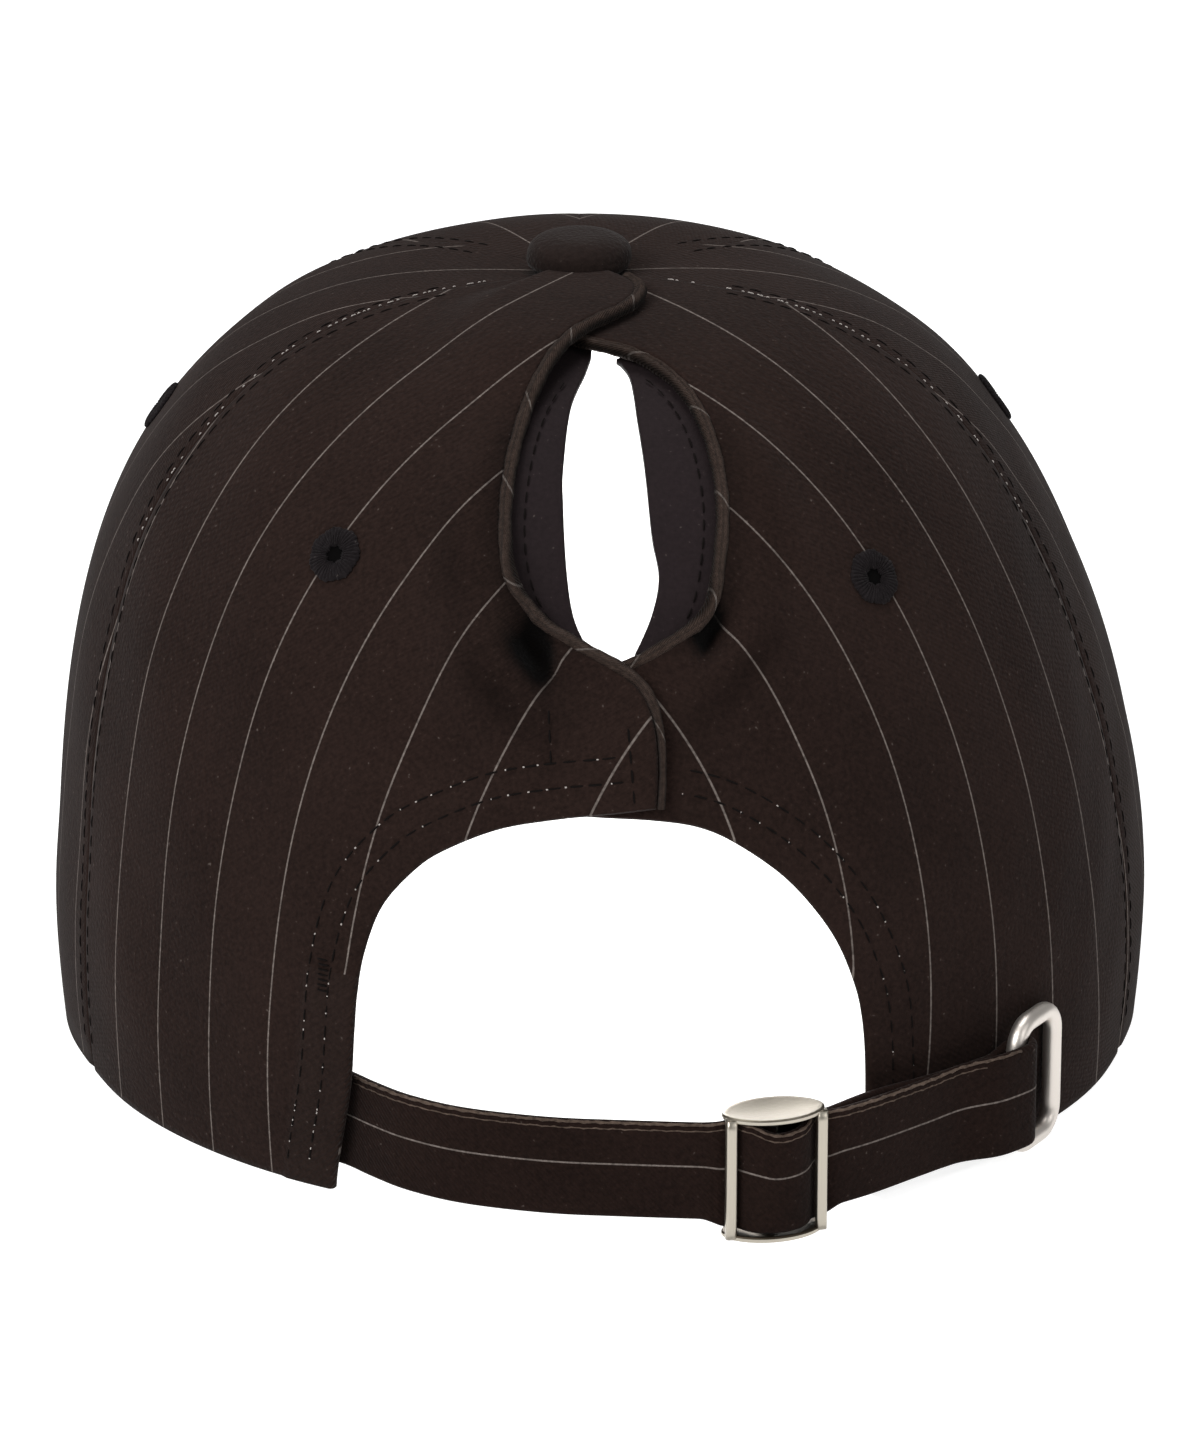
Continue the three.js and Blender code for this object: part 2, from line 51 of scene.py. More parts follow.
# Sizes of the cap, as in the part.
GAP = 0.3
WALL = 1.5
HEIGHT = 118.5
HALF_WIDTH = 85.9
BACK = 89.5
FRONT = 100.0
LEAN = 3.2
CREST = 3.2
RIM_TUCK = 0.015
SEAM_DIP = 0.6
PEAK_LENGTH = 70.0
PEAK_THICK = 3.0
PEAK_ARCH = 12.0
PEAK_DROOP = 4.0
BUTTON_RADIUS = 8.0
PIPING = 1.05
FACING = 0.9
STRAP_THICK = 1.4
STRAP_WIDTH = 15.2
STRAP_BOTTOM = 2.8
SLIDER_HALF = 7.75
SLIDER_DEPTH = 9.0
SLIDER_HEIGHT = 19.4
SLIDER_PLATE = 0.9
SLIDER_BAR = 1.2
MIDDLE_BAR = 0.9
RING_WIRE = 1.3
RING_HEIGHT = 22.0
RING_CORNER = 2.6
FLOOR_CLEAR = 0.1

CLIMB_POWER = 0.842
SIDE_POWER = 0.62
BACK_POWER = 0.6
FRONT_POWER = 0.8
TOP_CLIMB = 89.299
SEAM_LEFT = -69.0
SEAM_RIGHT = 74.0
SEAM_FRONT = 126.0
PEAK_TIP = 106.0

# The arch on each side, from the rim up to the slit's edge: degrees round,
# degrees up.
ARCH_LEFT = [
    (-27.8, 0), (-26.3, 3.6), (-25.5, 6.4), (-25.2, 9.6), (-25, 12.2),
    (-24.3, 15.2), (-22.4, 18.8), (-19, 21.8), (-15.6, 23.7), (-9.4, 25.7),
    (-3, 26.7), (2.5, 27.1), (6.8, 27.4)]
ARCH_RIGHT = [
    (27.6, 0), (27.5, 5), (27.2, 10), (26.2, 13.2), (24, 17), (20.2, 21),
    (15.4, 24.2), (11.4, 25.9), (6.5, 26.7), (0, 27.1), (-5, 27.4)]
ARCH_STEPS = 120

# The slit's two bound edges: degrees round from the centre back, degrees up.
LEFT_EDGE = [
    (6.8, 27.4), (7.4, 30.5), (7.5, 34.2), (6.4, 37.2), (3.8, 39), (0, 40.8),
    (-3.4, 42.6), (-6.4, 44.9), (-8.8, 48.2), (-10.4, 53.3), (-11, 58.9),
    (-11, 65.2), (-9.7, 71.8), (-4.9, 78.4), (3.5, 82), (18.5, 84.4),
    (34, 86.8), (38, 88.2), (38, TOP_CLIMB)]
RIGHT_EDGE = [
    (-5, 27.4), (-5, 31), (-5, 34.5), (-4, 37), (0, 38.4), (5.4, 39.4),
    (10, 41.2), (14.2, 43), (17, 45.6), (19.3, 50.5), (21.2, 55.8),
    (22.4, 61.7), (22.8, 67.8), (21.2, 73.6), (15.7, 78), (7.7, 80),
    (-2, 81.6), (-12, 83.8), (-18, 86), (-20, TOP_CLIMB)]
LEFT_FACING = [
    (1, 42.2), (-0.6, 45.4), (-1.5, 50.4), (-2.2, 58), (-2.4, 62.9),
    (-1.4, 72), (2.2, 78.0), (3.6, 80.0), (4.4, 81.8)]
RIGHT_FACING = [
    (6.6, 41.6), (9.0, 45.2), (10.6, 49.4), (10.3, 54.4), (10.8, 62.9),
    (11.4, 70), (12.6, 76), (12.0, 78.2), (10.8, 79.3)]

# Number of the pinstripe that runs through a point of a back panel, counted
# from the one that starts at the button. x, y and z are shares of the
# crown's half width, depth and height.
STRIPE_TERMS = ("1", "x", "y", "z", "xx", "xy", "xz", "yz", "zz", "xzz",
                "yzz", "xxz")
STRIPES_LEFT = (-4.578, 5.556, 1.075, 1.528, 2.645, 1.253, 1.102, 2.255,
                2.944, -1.302, -0.167, -2.389)
STRIPES_RIGHT = (-4.183, 4.706, 0.555, -0.541, 2.077, 1.012, 0.884, 3.066,
                 4.752, -2.37, -1.054, 1.303)
STRIPE_SPACING = 12.8
STRIPE_SCALE = (86.0, 90.0, 118.5)
PANEL_BOW = 92.0

# Soft dents and swells of the back panels: degrees round, degrees up, half
# widths across and along in degrees, turn in degrees, height in millimetres.
FOLDS = [
    (-5.2, 41.2, 1.9, 3.6, 41, -3.6),
    (-2.2, 40.2, 0.8, 1.8, 15, 0.9),
    (-12.0, 39.0, 4.5, 6.0, 30, 1.3),
    (16.2, 42.2, 1.5, 2.8, -47, -3.2),
    (23.0, 41.0, 4.0, 5.0, -20, 1.1),
    (-15.5, 55.0, 4.0, 9.0, 0, 1.3),
    (28.0, 56.0, 4.5, 9.0, 0, 1.2),
    (-14.0, 32.0, 7.0, 3.6, 20, -1.2),
    (20.0, 32.0, 7.0, 3.6, -20, -1.0),
    (2.0, 33.0, 6.0, 5.0, 0, 0.8)]

# Painted shade in the hollows of the two deepest dents: degrees round,
# degrees up, half widths across and along in degrees, turn in degrees.
POCKETS = [(-5.0, 40.7, 1.9, 2.9, 41), (15.4, 43.0, 1.2, 2.2, -47)]

# Painted shade on the sides of soft folds, with the shade's depth at the end.
SHADES = [
    (-9.5, 36.5, 1.6, 5.0, 50, 0.35),
    (-15.5, 48.0, 2.2, 8.0, 20, 0.25),
    (19.5, 39.0, 1.6, 5.0, -55, 0.35),
    (12.5, 34.5, 1.8, 6.0, -60, 0.25),
    (25.5, 50.0, 2.4, 9.0, -15, 0.2),
    (-3.8, 33.5, 1.0, 3.5, 0, 0.2)]
DEEPEST_SHADE = 0.95

# The seams: reach of the soft dip, depth and reach of the cut in its middle.
DIP_REACH = 12.0
CUT_DEPTH = 0.35
CUT_REACH = 0.9

# The left panel's turned hem: its lift, the degrees up over which it ends, its
# width with the ease to the cloth, and the distances of its two stitch rows.
HEM_LIFT = 0.35
HEM_END = (14.5, 13)
HEM_WIDTH = (9.0, 8.4)
HEM_ROWS = (4.3, 8.0)

# Points along the slit's edge and distance of the points along its binding.
EDGE_STEPS = 170
PIPING_STEP = 0.35


# ---------------------------------------------------------------- crown shape
def smooth(x, low, high):
    t = np.clip((x - low) / (high - low), 0, 1)
    return t * t * (3 - 2 * t)


def spread(around, climb):
    a, c = np.radians(around), np.cos(np.radians(climb))
    back = np.clip(np.cos(a), 0, 1) ** 2
    front = np.clip(-np.cos(a), 0, 1) ** 2
    power = (1 - back - front) * SIDE_POWER + back * BACK_POWER
    power = power + front * FRONT_POWER
    rise = np.sin(np.radians(climb)) ** CLIMB_POWER
    low = np.clip(1 - rise / 0.22, 0, 1)
    return np.clip(c, 1e-6, 1) ** power * (1 - RIM_TUCK * low ** 2)


def climb_at(height):
    share = np.clip(np.asarray(height, float) / HEIGHT, 0, 1)
    return np.degrees(np.arcsin(share ** (1 / CLIMB_POWER)))


def groove(around, climb):
    nearest = np.full(np.shape(around + climb), 1e3)
    for seam in (SEAM_LEFT, SEAM_RIGHT, SEAM_FRONT, -SEAM_FRONT, 180, -180):
        nearest = np.minimum(nearest, np.abs(around - seam))
    away = HALF_WIDTH * spread(around, climb) * np.radians(nearest)
    wide = SEAM_DIP * np.exp(-(away / DIP_REACH) ** 2)
    return wide + CUT_DEPTH * np.exp(-(away / CUT_REACH) ** 2)


def mound(around, climb, a0, c0, across, along, turn, power=2):
    """1 at a point of the crown, falling to 0 around it in a turned oval."""
    t = math.radians(turn)
    a = (around - a0) * math.cos(t) + (climb - c0) * math.sin(t)
    c = -(around - a0) * math.sin(t) + (climb - c0) * math.cos(t)
    return np.exp(-np.abs(a / across) ** power - np.abs(c / along) ** power)


def relief(around, climb):
    height = np.zeros(np.shape(around + climb))
    for *oval, size in FOLDS:
        height = height + size * mound(around, climb, *oval)
    return height


def fold_painted_shade(around, climb):
    """Painted shade in the pockets beside the slit and on fold sides, 0 to 1.
    """
    shade = np.zeros(np.shape(around + climb))
    for a0, c0, across, along, turn in POCKETS:
        core = DEEPEST_SHADE * mound(around, climb, a0, c0, 1.2 * across,
                                     1.1 * along, turn, 4)
        core = core * (1 - smooth(around, -3.3, -2.8) * (a0 < 0))
        halo = 0.3 * mound(around, climb, a0, c0, 2.8 * across, 2.4 * along,
                           turn)
        shade = shade + core + halo
    for *oval, depth in SHADES:
        shade = shade + depth * mound(around, climb, *oval)
    return np.clip(shade, 0, DEEPEST_SHADE)


def wrinkle(x, y, z):
    """The cloth's faint unevenness, in millimetres."""
    soft = (0.22 * np.sin(x * 0.11 + z * 0.05 + 1.3)
            * np.sin(y * 0.09 - z * 0.07))
    soft = soft + 0.14 * np.sin(x * 0.19 - y * 0.13 + z * 0.11 + 0.4)
    return soft + 0.08 * np.sin(x * 0.31 + y * 0.27 - z * 0.23 + 2.1)


def crown(around, climb, depth=0.0):
    """Points of the crown in millimetres, a depth in from its outer face."""
    around = np.asarray(around, float)
    climb = np.asarray(climb, float)
    inset = depth + groove(around, climb) - relief(around, climb)
    share = spread(around, climb)
    sin_a, cos_a = np.sin(np.radians(around)), np.cos(np.radians(around))
    reach = np.where(cos_a > 0, BACK, FRONT)
    x = (HALF_WIDTH - inset) * share * sin_a
    y = -(reach - inset) * share * cos_a
    rise = np.sin(np.radians(climb)) ** CLIMB_POWER
    crest = CREST * smooth(rise, 0.5, 1) * smooth(y, 0, 0.3 * FRONT)
    crest = crest * np.exp(-((y - 0.42 * FRONT) / (0.32 * FRONT)) ** 2
                           - (x / (0.6 * HALF_WIDTH)) ** 2)
    z = (HEIGHT - depth + 0.8 * relief(around, climb)) * rise + crest
    extra = wrinkle(x, y, z) * smooth(z, 4, 25) * smooth(rise, 1.0, 0.93)
    x = x + extra * sin_a * share
    y = y - extra * cos_a * share
    z = z + extra * rise * 0.6
    x = x - LEAN * smooth(rise, 0.25, 0.8)
    return np.stack(np.broadcast_arrays(x, y, z), -1)


def unit(vectors):
    return vectors / np.linalg.norm(vectors, axis=-1, keepdims=True)


def crown_normal(around, climb, step=0.4):
    up = np.minimum(np.asarray(climb, float) + step, TOP_CLIMB)
    east = crown(around + step, climb) - crown(around - step, climb)
    north = crown(around, up) - crown(around, np.maximum(climb - step, 0))
    return unit(np.cross(east, north))


LAP = WALL / 2 + PIPING + 1.5 * GAP


def lap_lift(around, climb):
    lateral = HALF_WIDTH * spread(around, climb) * np.sin(np.radians(around))
    across = smooth(lateral / HALF_WIDTH, -0.3, -0.12)
    across = across * smooth(around, -60, -35)
    slit = smooth(climb, 42, 57) * (1 - smooth(climb, 66, 79))
    return LAP * across * (1 - slit)


def no_lift(around, climb):
    return np.zeros(np.shape(around + climb))


def peak_under(x, y):
    bow = np.clip(1 - (x / HALF_WIDTH) ** 2, 0, 1)
    forward = np.clip((y - FRONT) / PEAK_LENGTH, 0, 1)
    return bow * (PEAK_ARCH - PEAK_DROOP * forward)


def rim_climb(around):
    around = np.asarray(around, float)
    x = HALF_WIDTH * np.sin(np.radians(around))
    reach = np.where(np.abs(around) > 90, FRONT, BACK)
    y = -reach * np.cos(np.radians(around))
    front = smooth(np.abs(around), PEAK_TIP - 16, PEAK_TIP + 4)
    return climb_at(peak_under(x, y) * front)


# ------------------------------------------------------------------ mesh tools
peak_low, peak_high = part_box("peak")
SHIFT = np.array([0.0, peak_high[1] / MM - FRONT - PEAK_LENGTH, 0.0])


def make_object(name, points, faces, material, grain=None, painted_shade=None):
    mesh = bpy.data.meshes.new(name)
    placed = (np.asarray(points, float) + SHIFT) * MM
    mesh.from_pydata(placed.tolist(), [], faces)
    mesh.validate()
    shape = bmesh.new()
    shape.from_mesh(mesh)
    bmesh.ops.recalc_face_normals(shape, faces=shape.faces)
    shape.to_mesh(mesh)
    shape.free()
    # The second layer is painted shade, 0 to 1, that darkens the cloth's
    # colour.
    for title, kind, field, data in (
            ("grain", "FLOAT_VECTOR", "vector", grain),
            ("painted_shade", "FLOAT", "value", painted_shade)):
        if data is not None:
            layer = mesh.attributes.new(title, kind, "POINT")
            layer.data.foreach_set(field, np.asarray(data, float).ravel())
    mesh.polygons.foreach_set("use_smooth", [True] * len(mesh.polygons))
    mesh.materials.append(material)
    obj = bpy.data.objects.new(name, mesh)
    bpy.context.scene.collection.objects.link(obj)
    return obj


def paint(obj, index, *materials):
    """More materials for a piece, and the number of the one on each face."""
    for material in materials:
        obj.data.materials.append(material)
    obj.data.polygons.foreach_set("material_index", index)


def settle(obj, slot, *nodes):
    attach(obj, "root")
    if nodes:
        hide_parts(*nodes)
    return obj


def grid_faces(rows, columns, start=0, wrap=False):
    faces = []
    last = columns if wrap else columns - 1
    for row in range(rows - 1):
        for column in range(last):
            right = (column + 1) % columns
            a = start + row * columns + column
            b = start + row * columns + right
            faces.append((a, b, b + columns, a + columns))
    return faces


def end_caps(rows, columns, start=0):
    """Flat faces over both ends of a wrapped grid."""
    last = start + (rows - 1) * columns
    return [tuple(range(start, start + columns)),
            tuple(range(last, last + columns))]


def ring_closure(rows, columns):
    """Faces that join the last row of a wrapped grid to its first."""
    last = (rows - 1) * columns
    pairs = [(k, (k + 1) % columns) for k in range(columns)]
    return [(last + k, last + n, n, k) for k, n in pairs]


def shell(outer, inner):
    """Points and faces of a closed shell between two grids."""
    rows, columns = outer.shape[:2]
    half = rows * columns
    faces = grid_faces(rows, columns) + grid_faces(rows, columns, half)
    ring = [(0, c) for c in range(columns)]
    ring += [(r, columns - 1) for r in range(1, rows)]
    ring += [(rows - 1, c) for c in range(columns - 2, -1, -1)]
    ring += [(r, 0) for r in range(rows - 2, 0, -1)]
    flat = [r * columns + c for r, c in ring]
    for a, b in zip(flat, flat[1:] + flat[:1]):
        faces.append((a, b, half + b, half + a))
    points = np.concatenate([outer.reshape(-1, 3), inner.reshape(-1, 3)])
    return points, faces


def tube(path, first, second, radius, sides, closed=False):
    """A round cord whose section lies in two directions at each point."""
    turn = np.linspace(0, 2 * np.pi, sides, endpoint=False)
    radius = np.broadcast_to(np.asarray(radius, float), (len(path),))
    ring = (first[:, None] * np.cos(turn)[None, :, None]
            + second[:, None] * np.sin(turn)[None, :, None])
    points = path[:, None] + ring * radius[:, None, None]
    faces = grid_faces(len(path), sides, wrap=True)
    faces += (ring_closure if closed else end_caps)(len(path), sides)
    return points.reshape(-1, 3), faces


def catmull(points, count):
    """A smooth line through points, evenly stepped from point to point."""
    points = np.asarray(points, float)
    place = np.linspace(0, len(points) - 1, count)
    index = np.minimum(place.astype(int), len(points) - 2)
    t = (place - index)[:, None]
    p1, p2 = points[index], points[index + 1]
    p0 = points[np.maximum(index - 1, 0)]
    p3 = points[np.minimum(index + 2, len(points) - 1)]
    m1, m2 = (p2 - p0) / 2, (p3 - p1) / 2
    return ((2 * t ** 3 - 3 * t ** 2 + 1) * p1 + (t ** 3 - 2 * t ** 2 + t) * m1
            + (3 * t ** 2 - 2 * t ** 3) * p2 + (t ** 3 - t ** 2) * m2)


def soften(line, times):
    for _ in range(times):
        line[1:-1] = (line[:-2] + 2 * line[1:-1] + line[2:]) / 4
    return line


def lengths(points):
    """The distance along a line to each of its points."""
    steps = np.linalg.norm(np.diff(points, axis=0), axis=1)
    return np.concatenate([[0], np.cumsum(steps)])


def edge_line(edge):
    """The slit's edge as one soft line, in degrees round and up."""
    line = soften(catmull(edge, EDGE_STEPS), EDGE_STEPS // 12)
    line[:, 1] = np.maximum.accumulate(line[:, 1])
    return line


def even(points, step):
    """The same line with points at even distances."""
    along = lengths(points)
    count = max(int(along[-1] / step), 2) + 1
    want = np.linspace(0, along[-1], count)
    return np.stack([np.interp(want, along, points[:, k])
                     for k in range(points.shape[1])], -1)


# ------------------------------------------------------------------- materials
THREAD_SCALE = 1500
PATCH_SCALE = 45
LINT_COLOUR = (0.10, 0.085, 0.075, 1)
BLACK = (0.0, 0.0, 0.0, 1)


def new_material(name):
    material = bpy.data.materials.new(name)
    material.use_nodes = True
    tree = material.node_tree
    return material, tree, tree.nodes["Principled BSDF"]


def put(node, values):
    """Set inputs of a node by their names."""
    for name, value in values.items():
        node.inputs[name].default_value = value


def feed(tree, socket, value):
    """Link an output to an input, or set the input to a constant."""
    if isinstance(value, bpy.types.NodeSocket):
        tree.links.new(value, socket)
    else:
        socket.default_value = value


def math_node(tree, kind, first, second=None, clamp=False):
    node = tree.nodes.new("ShaderNodeMath")
    node.operation = kind
    node.use_clamp = clamp
    feed(tree, node.inputs[0], first)
    if second is not None:
        feed(tree, node.inputs[1], second)
    return node.outputs[0]


def mix_colour(tree, factor, first, second):
    node = tree.nodes.new("ShaderNodeMix")
    node.data_type = "RGBA"
    for place, value in ((0, factor), (6, first), (7, second)):
        feed(tree, node.inputs[place], value)
    return node.outputs[2]


def noise(tree, scale, detail):
    place = tree.nodes.new("ShaderNodeTexCoord")
    node = tree.nodes.new("ShaderNodeTexNoise")
    put(node, {"Scale": scale, "Detail": detail})
    tree.links.new(place.outputs["Object"], node.inputs["Vector"])
    return node.outputs["Fac"]


def map_range(tree, value, low, high, to_low=0.0, to_high=1.0):
    node = tree.nodes.new("ShaderNodeMapRange")
    put(node, {"From Min": low, "From Max": high,
               "To Min": to_low, "To Max": to_high})
    tree.links.new(value, node.inputs["Value"])
    return node.outputs[0]


def attribute(tree, name, output):
    node = tree.nodes.new("ShaderNodeAttribute")
    node.attribute_name = name
    return node.outputs[output]


def add_bump(tree, shader, height, strength, distance):
    node = tree.nodes.new("ShaderNodeBump")
    put(node, {"Strength": strength, "Distance": distance})
    tree.links.new(height, node.inputs["Height"])
    tree.links.new(node.outputs[0], shader.inputs["Normal"])


def cloth_material(name, base, stripe=None, stripe_width=0.3, weave=0.8,
                   rough=0.95, sheen=0.03, bump=0.4, ribs=0.3, contrast=1.0):
    """Twill with an optional pinstripe. The grain attribute holds the stripe
    number and the distances across and along the stripes in millimetres."""
    material, tree, shader = new_material(name)
    parts = tree.nodes.new("ShaderNodeSeparateXYZ")
    tree.links.new(attribute(tree, "grain", "Vector"), parts.inputs[0])
    number, across, along = parts.outputs
    fine = noise(tree, THREAD_SCALE, 3)
    patch = math_node(tree, "MULTIPLY", noise(tree, PATCH_SCALE, 3), 0.6)
    speck = math_node(tree, "MULTIPLY", map_range(tree, fine, 0.3, 0.75), 0.5)
    level = math_node(tree, "ADD", speck, patch)
    dark = tuple((1 - 0.28 * contrast) * c for c in base[:3]) + (1,)
    light = tuple((1 + 0.45 * contrast) * c for c in base[:3]) + (1,)
    colour = mix_colour(tree, level, dark, light)
    lint = noise(tree, THREAD_SCALE, 1)
    lint = map_range(tree, lint, 0.745, 0.83, to_high=0.5)
    colour = mix_colour(tree, lint, colour, LINT_COLOUR)
    if stripe is not None:
        near = number
        for kind, value in (("ADD", 0.5), ("FRACT", None), ("SUBTRACT", 0.5),
                            ("ABSOLUTE", None), ("MULTIPLY", STRIPE_SPACING)):
            near = math_node(tree, kind, near, value)
        line = map_range(tree, near, 0.62 * stripe_width, 0.38 * stripe_width)
        broken = map_range(tree, fine, 0.25, 0.7, to_low=0.35)
        mask = math_node(tree, "MULTIPLY", line, broken, True)
        colour = mix_colour(tree, mask, colour, stripe)
    # Painted shade: the shade attribute mixes the colour towards black.
    colour = mix_colour(tree, attribute(tree, "painted_shade", "Fac"), colour, BLACK)
    tree.links.new(colour, shader.inputs["Base Color"])
    diagonal = math_node(tree, "ADD", across, along)
    phase = math_node(tree, "MULTIPLY", diagonal, 2 * math.pi / weave)
    twill = math_node(tree, "SINE", phase)
    height = math_node(tree, "MULTIPLY", twill, ribs)
    height = math_node(tree, "ADD", height, fine)
    add_bump(tree, shader, height, bump, 0.0004)
    put(shader, {"Roughness": rough, "Specular IOR Level": 0.04,
                 "Sheen Weight": sheen, "Sheen Roughness": 0.45})
    return material


def plain_material(name, colour, rough, metallic=0.0, bump=0.0):
    material, tree, shader = new_material(name)
    put(shader, {"Base Color": colour, "Roughness": rough,
                 "Metallic": metallic,
                 "Specular IOR Level": 0.5 if metallic else 0.08})
    if bump:
        add_bump(tree, shader, noise(tree, THREAD_SCALE, 3), bump, 0.0003)
    return material


TWILL_COLOUR = (0.0112, 0.0064, 0.0052, 1)
STRIPE_COLOUR = (0.150, 0.128, 0.115, 1)
twill_cloth = cloth_material("pinstripe_twill", TWILL_COLOUR, STRIPE_COLOUR,
                             stripe_width=0.25, bump=0.5, ribs=0.1,
                             contrast=2.0)
# The crown's twill made darker for the strap: painted shade.
strap_cloth_painted_shade = cloth_material("strap_twill_painted_shade", (0.0080, 0.0043, 0.0034, 1),
                             STRIPE_COLOUR, stripe_width=0.25, bump=0.5,
                             ribs=0.1, contrast=2.0)
hem_cloth = cloth_material("hem_twill", (0.0132, 0.0079, 0.0065, 1), weave=1.1,
                           bump=0.6, ribs=0.6, contrast=1.6)
# Lighter than the crown's twill, so that with the painted shade on the
# piping's sides its middle reads as a painted highlight.
piping_cloth = cloth_material("piping_twill", (0.0330, 0.0220, 0.0175, 1),
                              (0.17, 0.145, 0.13, 1), 0.4, 0.75, bump=0.8,
                              sheen=0.02, ribs=0.5, contrast=2.4)
frayed_edge = cloth_material("frayed_edge", (0.050, 0.036, 0.028, 1), bump=1.0,
                             ribs=0.0, contrast=3.0)
facing_cloth = cloth_material("facing_cloth", (0.0108, 0.0074, 0.0080, 1),
                              rough=0.7, bump=0.12, ribs=0.0)
button_cloth = cloth_material("button_cloth", (0.0118, 0.0078, 0.0068, 1),
                              sheen=0.05, bump=0.7, ribs=0.0)
pale_lining = plain_material("pale_stiffener", (0.86, 0.86, 0.85, 1), 0.95)
dark_thread = plain_material("dark_thread", (0.0034, 0.0023, 0.0020, 1), 0.9)
pale_thread = plain_material("pale_thread", (0.34, 0.31, 0.29, 1), 0.9)
eyelet_thread = cloth_material("eyelet_thread", (0.0072, 0.0058, 0.0062, 1),
                               bump=1.0, ribs=0.0, contrast=2.2)
# Near-black painted shade for the eyelets' holes.
eyelet_hole_painted_shade = plain_material("eyelet_hole_painted_shade", (0.0006, 0.0004, 0.0004, 1), 1.0)
# A darker copy of the satin nickel for the slider's top: painted shade that
# dims the lamps' reflection there.
plate_nickel_painted_dark = plain_material("satin_nickel_plate_painted_dark", (0.135, 0.119, 0.094, 1),
                              0.45, 1.0, 0.08)
# A dark copy of the satin nickel: painted shade on the bottom plate's upper
# face.
nickel_painted_shade = plain_material("satin_nickel_painted_shade", (0.045, 0.035, 0.025, 1),
                               0.5, 1.0)
nickel = plain_material("satin_nickel", (0.42, 0.385, 0.325, 1), 0.34, 1.0,
                        0.06)
# A lighter copy of the satin nickel for the ring: painted light.
ring_nickel_painted_light = plain_material("satin_nickel_ring_painted_light", (0.62, 0.575, 0.53, 1), 0.42,
                             1.0, 0.06)


# -------------------------------------------------------------- crown panels
def stripe_number(points, side):
    x, y, z = np.moveaxis(points / STRIPE_SCALE, -1, 0)
    axes = {"1": 1.0, "x": side * x, "y": y, "z": z}
    shares = STRIPES_LEFT if side < 0 else STRIPES_RIGHT
    return sum(share * math.prod(axes[letter] for letter in term)
               for share, term in zip(shares, STRIPE_TERMS))


def back_grain(points, side):
    number = stripe_number(points, side)
    along = points[..., 2] - 0.5 * points[..., 1]
    return np.stack([number, number * STRIPE_SPACING, along], -1)


def centred_grain(points, middle):
    """Stripes that run beside a panel's middle line."""
    turn = math.radians(middle)
    x = points[..., 0] + LEAN * smooth(points[..., 2] / HEIGHT, 0.25, 0.8)
    y = points[..., 1]
    away = math.sin(turn) * y + math.cos(turn) * x
    across = PANEL_BOW * np.arcsin(np.clip(away / PANEL_BOW, -0.99, 0.99))
    along = points[..., 2] - 0.6 * (math.sin(turn) * x - math.cos(turn) * y)
    return np.stack([across / STRIPE_SPACING, across, along], -1)


def arch_line(side):
    line = catmull(ARCH_LEFT if side < 0 else ARCH_RIGHT, ARCH_STEPS)
    line[:, 1] = np.maximum.accumulate(line[:, 1])
    return line


def free_side(edge, side):
    return np.concatenate([arch_line(side), edge_line(edge)[1:]])


def hem_lift(around, climb):
    """Lift of the left panel, with its turned hem beside the arch."""
    return lap_lift(around, climb) + HEM_LIFT * smooth(climb, *HEM_END)


def rounded_layers(around, climb, away, lift):
    """Outer and inner faces that meet in a round fold at the free edge."""
    radius = WALL / 2
    near = np.clip(1 - away / radius, 0, 1)
    roll = radius * (1 - np.sqrt(np.clip(1 - near ** 2, 0, 1)))
    raised = lift(around, climb)
    return (crown(around, climb, roll - raised),
            crown(around, climb, WALL - roll - raised))


def back_panel(name, seam, edge, lift):
    side = math.copysign(1, seam)
    line = free_side(edge, side)
    free, climb = line[:, 0], line[:, 1]
    reach = HALF_WIDTH * spread(free, climb)
    start = seam + side * np.degrees(GAP / 2 / reach)
    width = np.radians(np.abs(free - start)) * reach
    rim = np.array([0.75, 0.45, 0.22, 0.08, 0.02])
    body = np.linspace(0, 1, 96)[:-1]
    main = (width[:, None] - 1.2) * body[None]
    across = np.concatenate([main, width[:, None] - rim[None]], axis=1)
    share = across / width[:, None]
    around = start[:, None] + (free - start)[:, None] * share
    climbs = np.repeat(climb[:, None], around.shape[1], 1)
    away = width[:, None] - across
    outer, inner = rounded_layers(around, climbs, away, lift)
    hem = smooth(away, *HEM_WIDTH) * smooth(climbs, *HEM_END) * (side < 0)
    outer = outer + crown_normal(around, climbs) * HEM_LIFT * hem[..., None]
    points, faces = shell(outer, inner)
    grain = np.concatenate([back_grain(outer, side).reshape(-1, 3)] * 2)
    # Painted shade along the slit's free edges, added to that in the pockets
    # and on the fold sides.
    beside = 0.4 * np.exp(-(away / 3.2) ** 2) * smooth(climbs, 38, 46)
    beside = beside * (1 - smooth(climbs, 62, 72))
    shade = fold_painted_shade(around, climbs) + beside
    shade = np.clip(shade, 0, DEEPEST_SHADE).ravel()
    shade = np.concatenate([shade, shade])
    obj = make_object(name, points, faces, twill_cloth, grain, shade)
    turned = np.append((hem > 0.5).ravel(), np.zeros(hem.size, bool))
    paint(obj, [int(all(turned[k] for k in face.vertices))
                for face in obj.data.polygons], hem_cloth)
    return obj


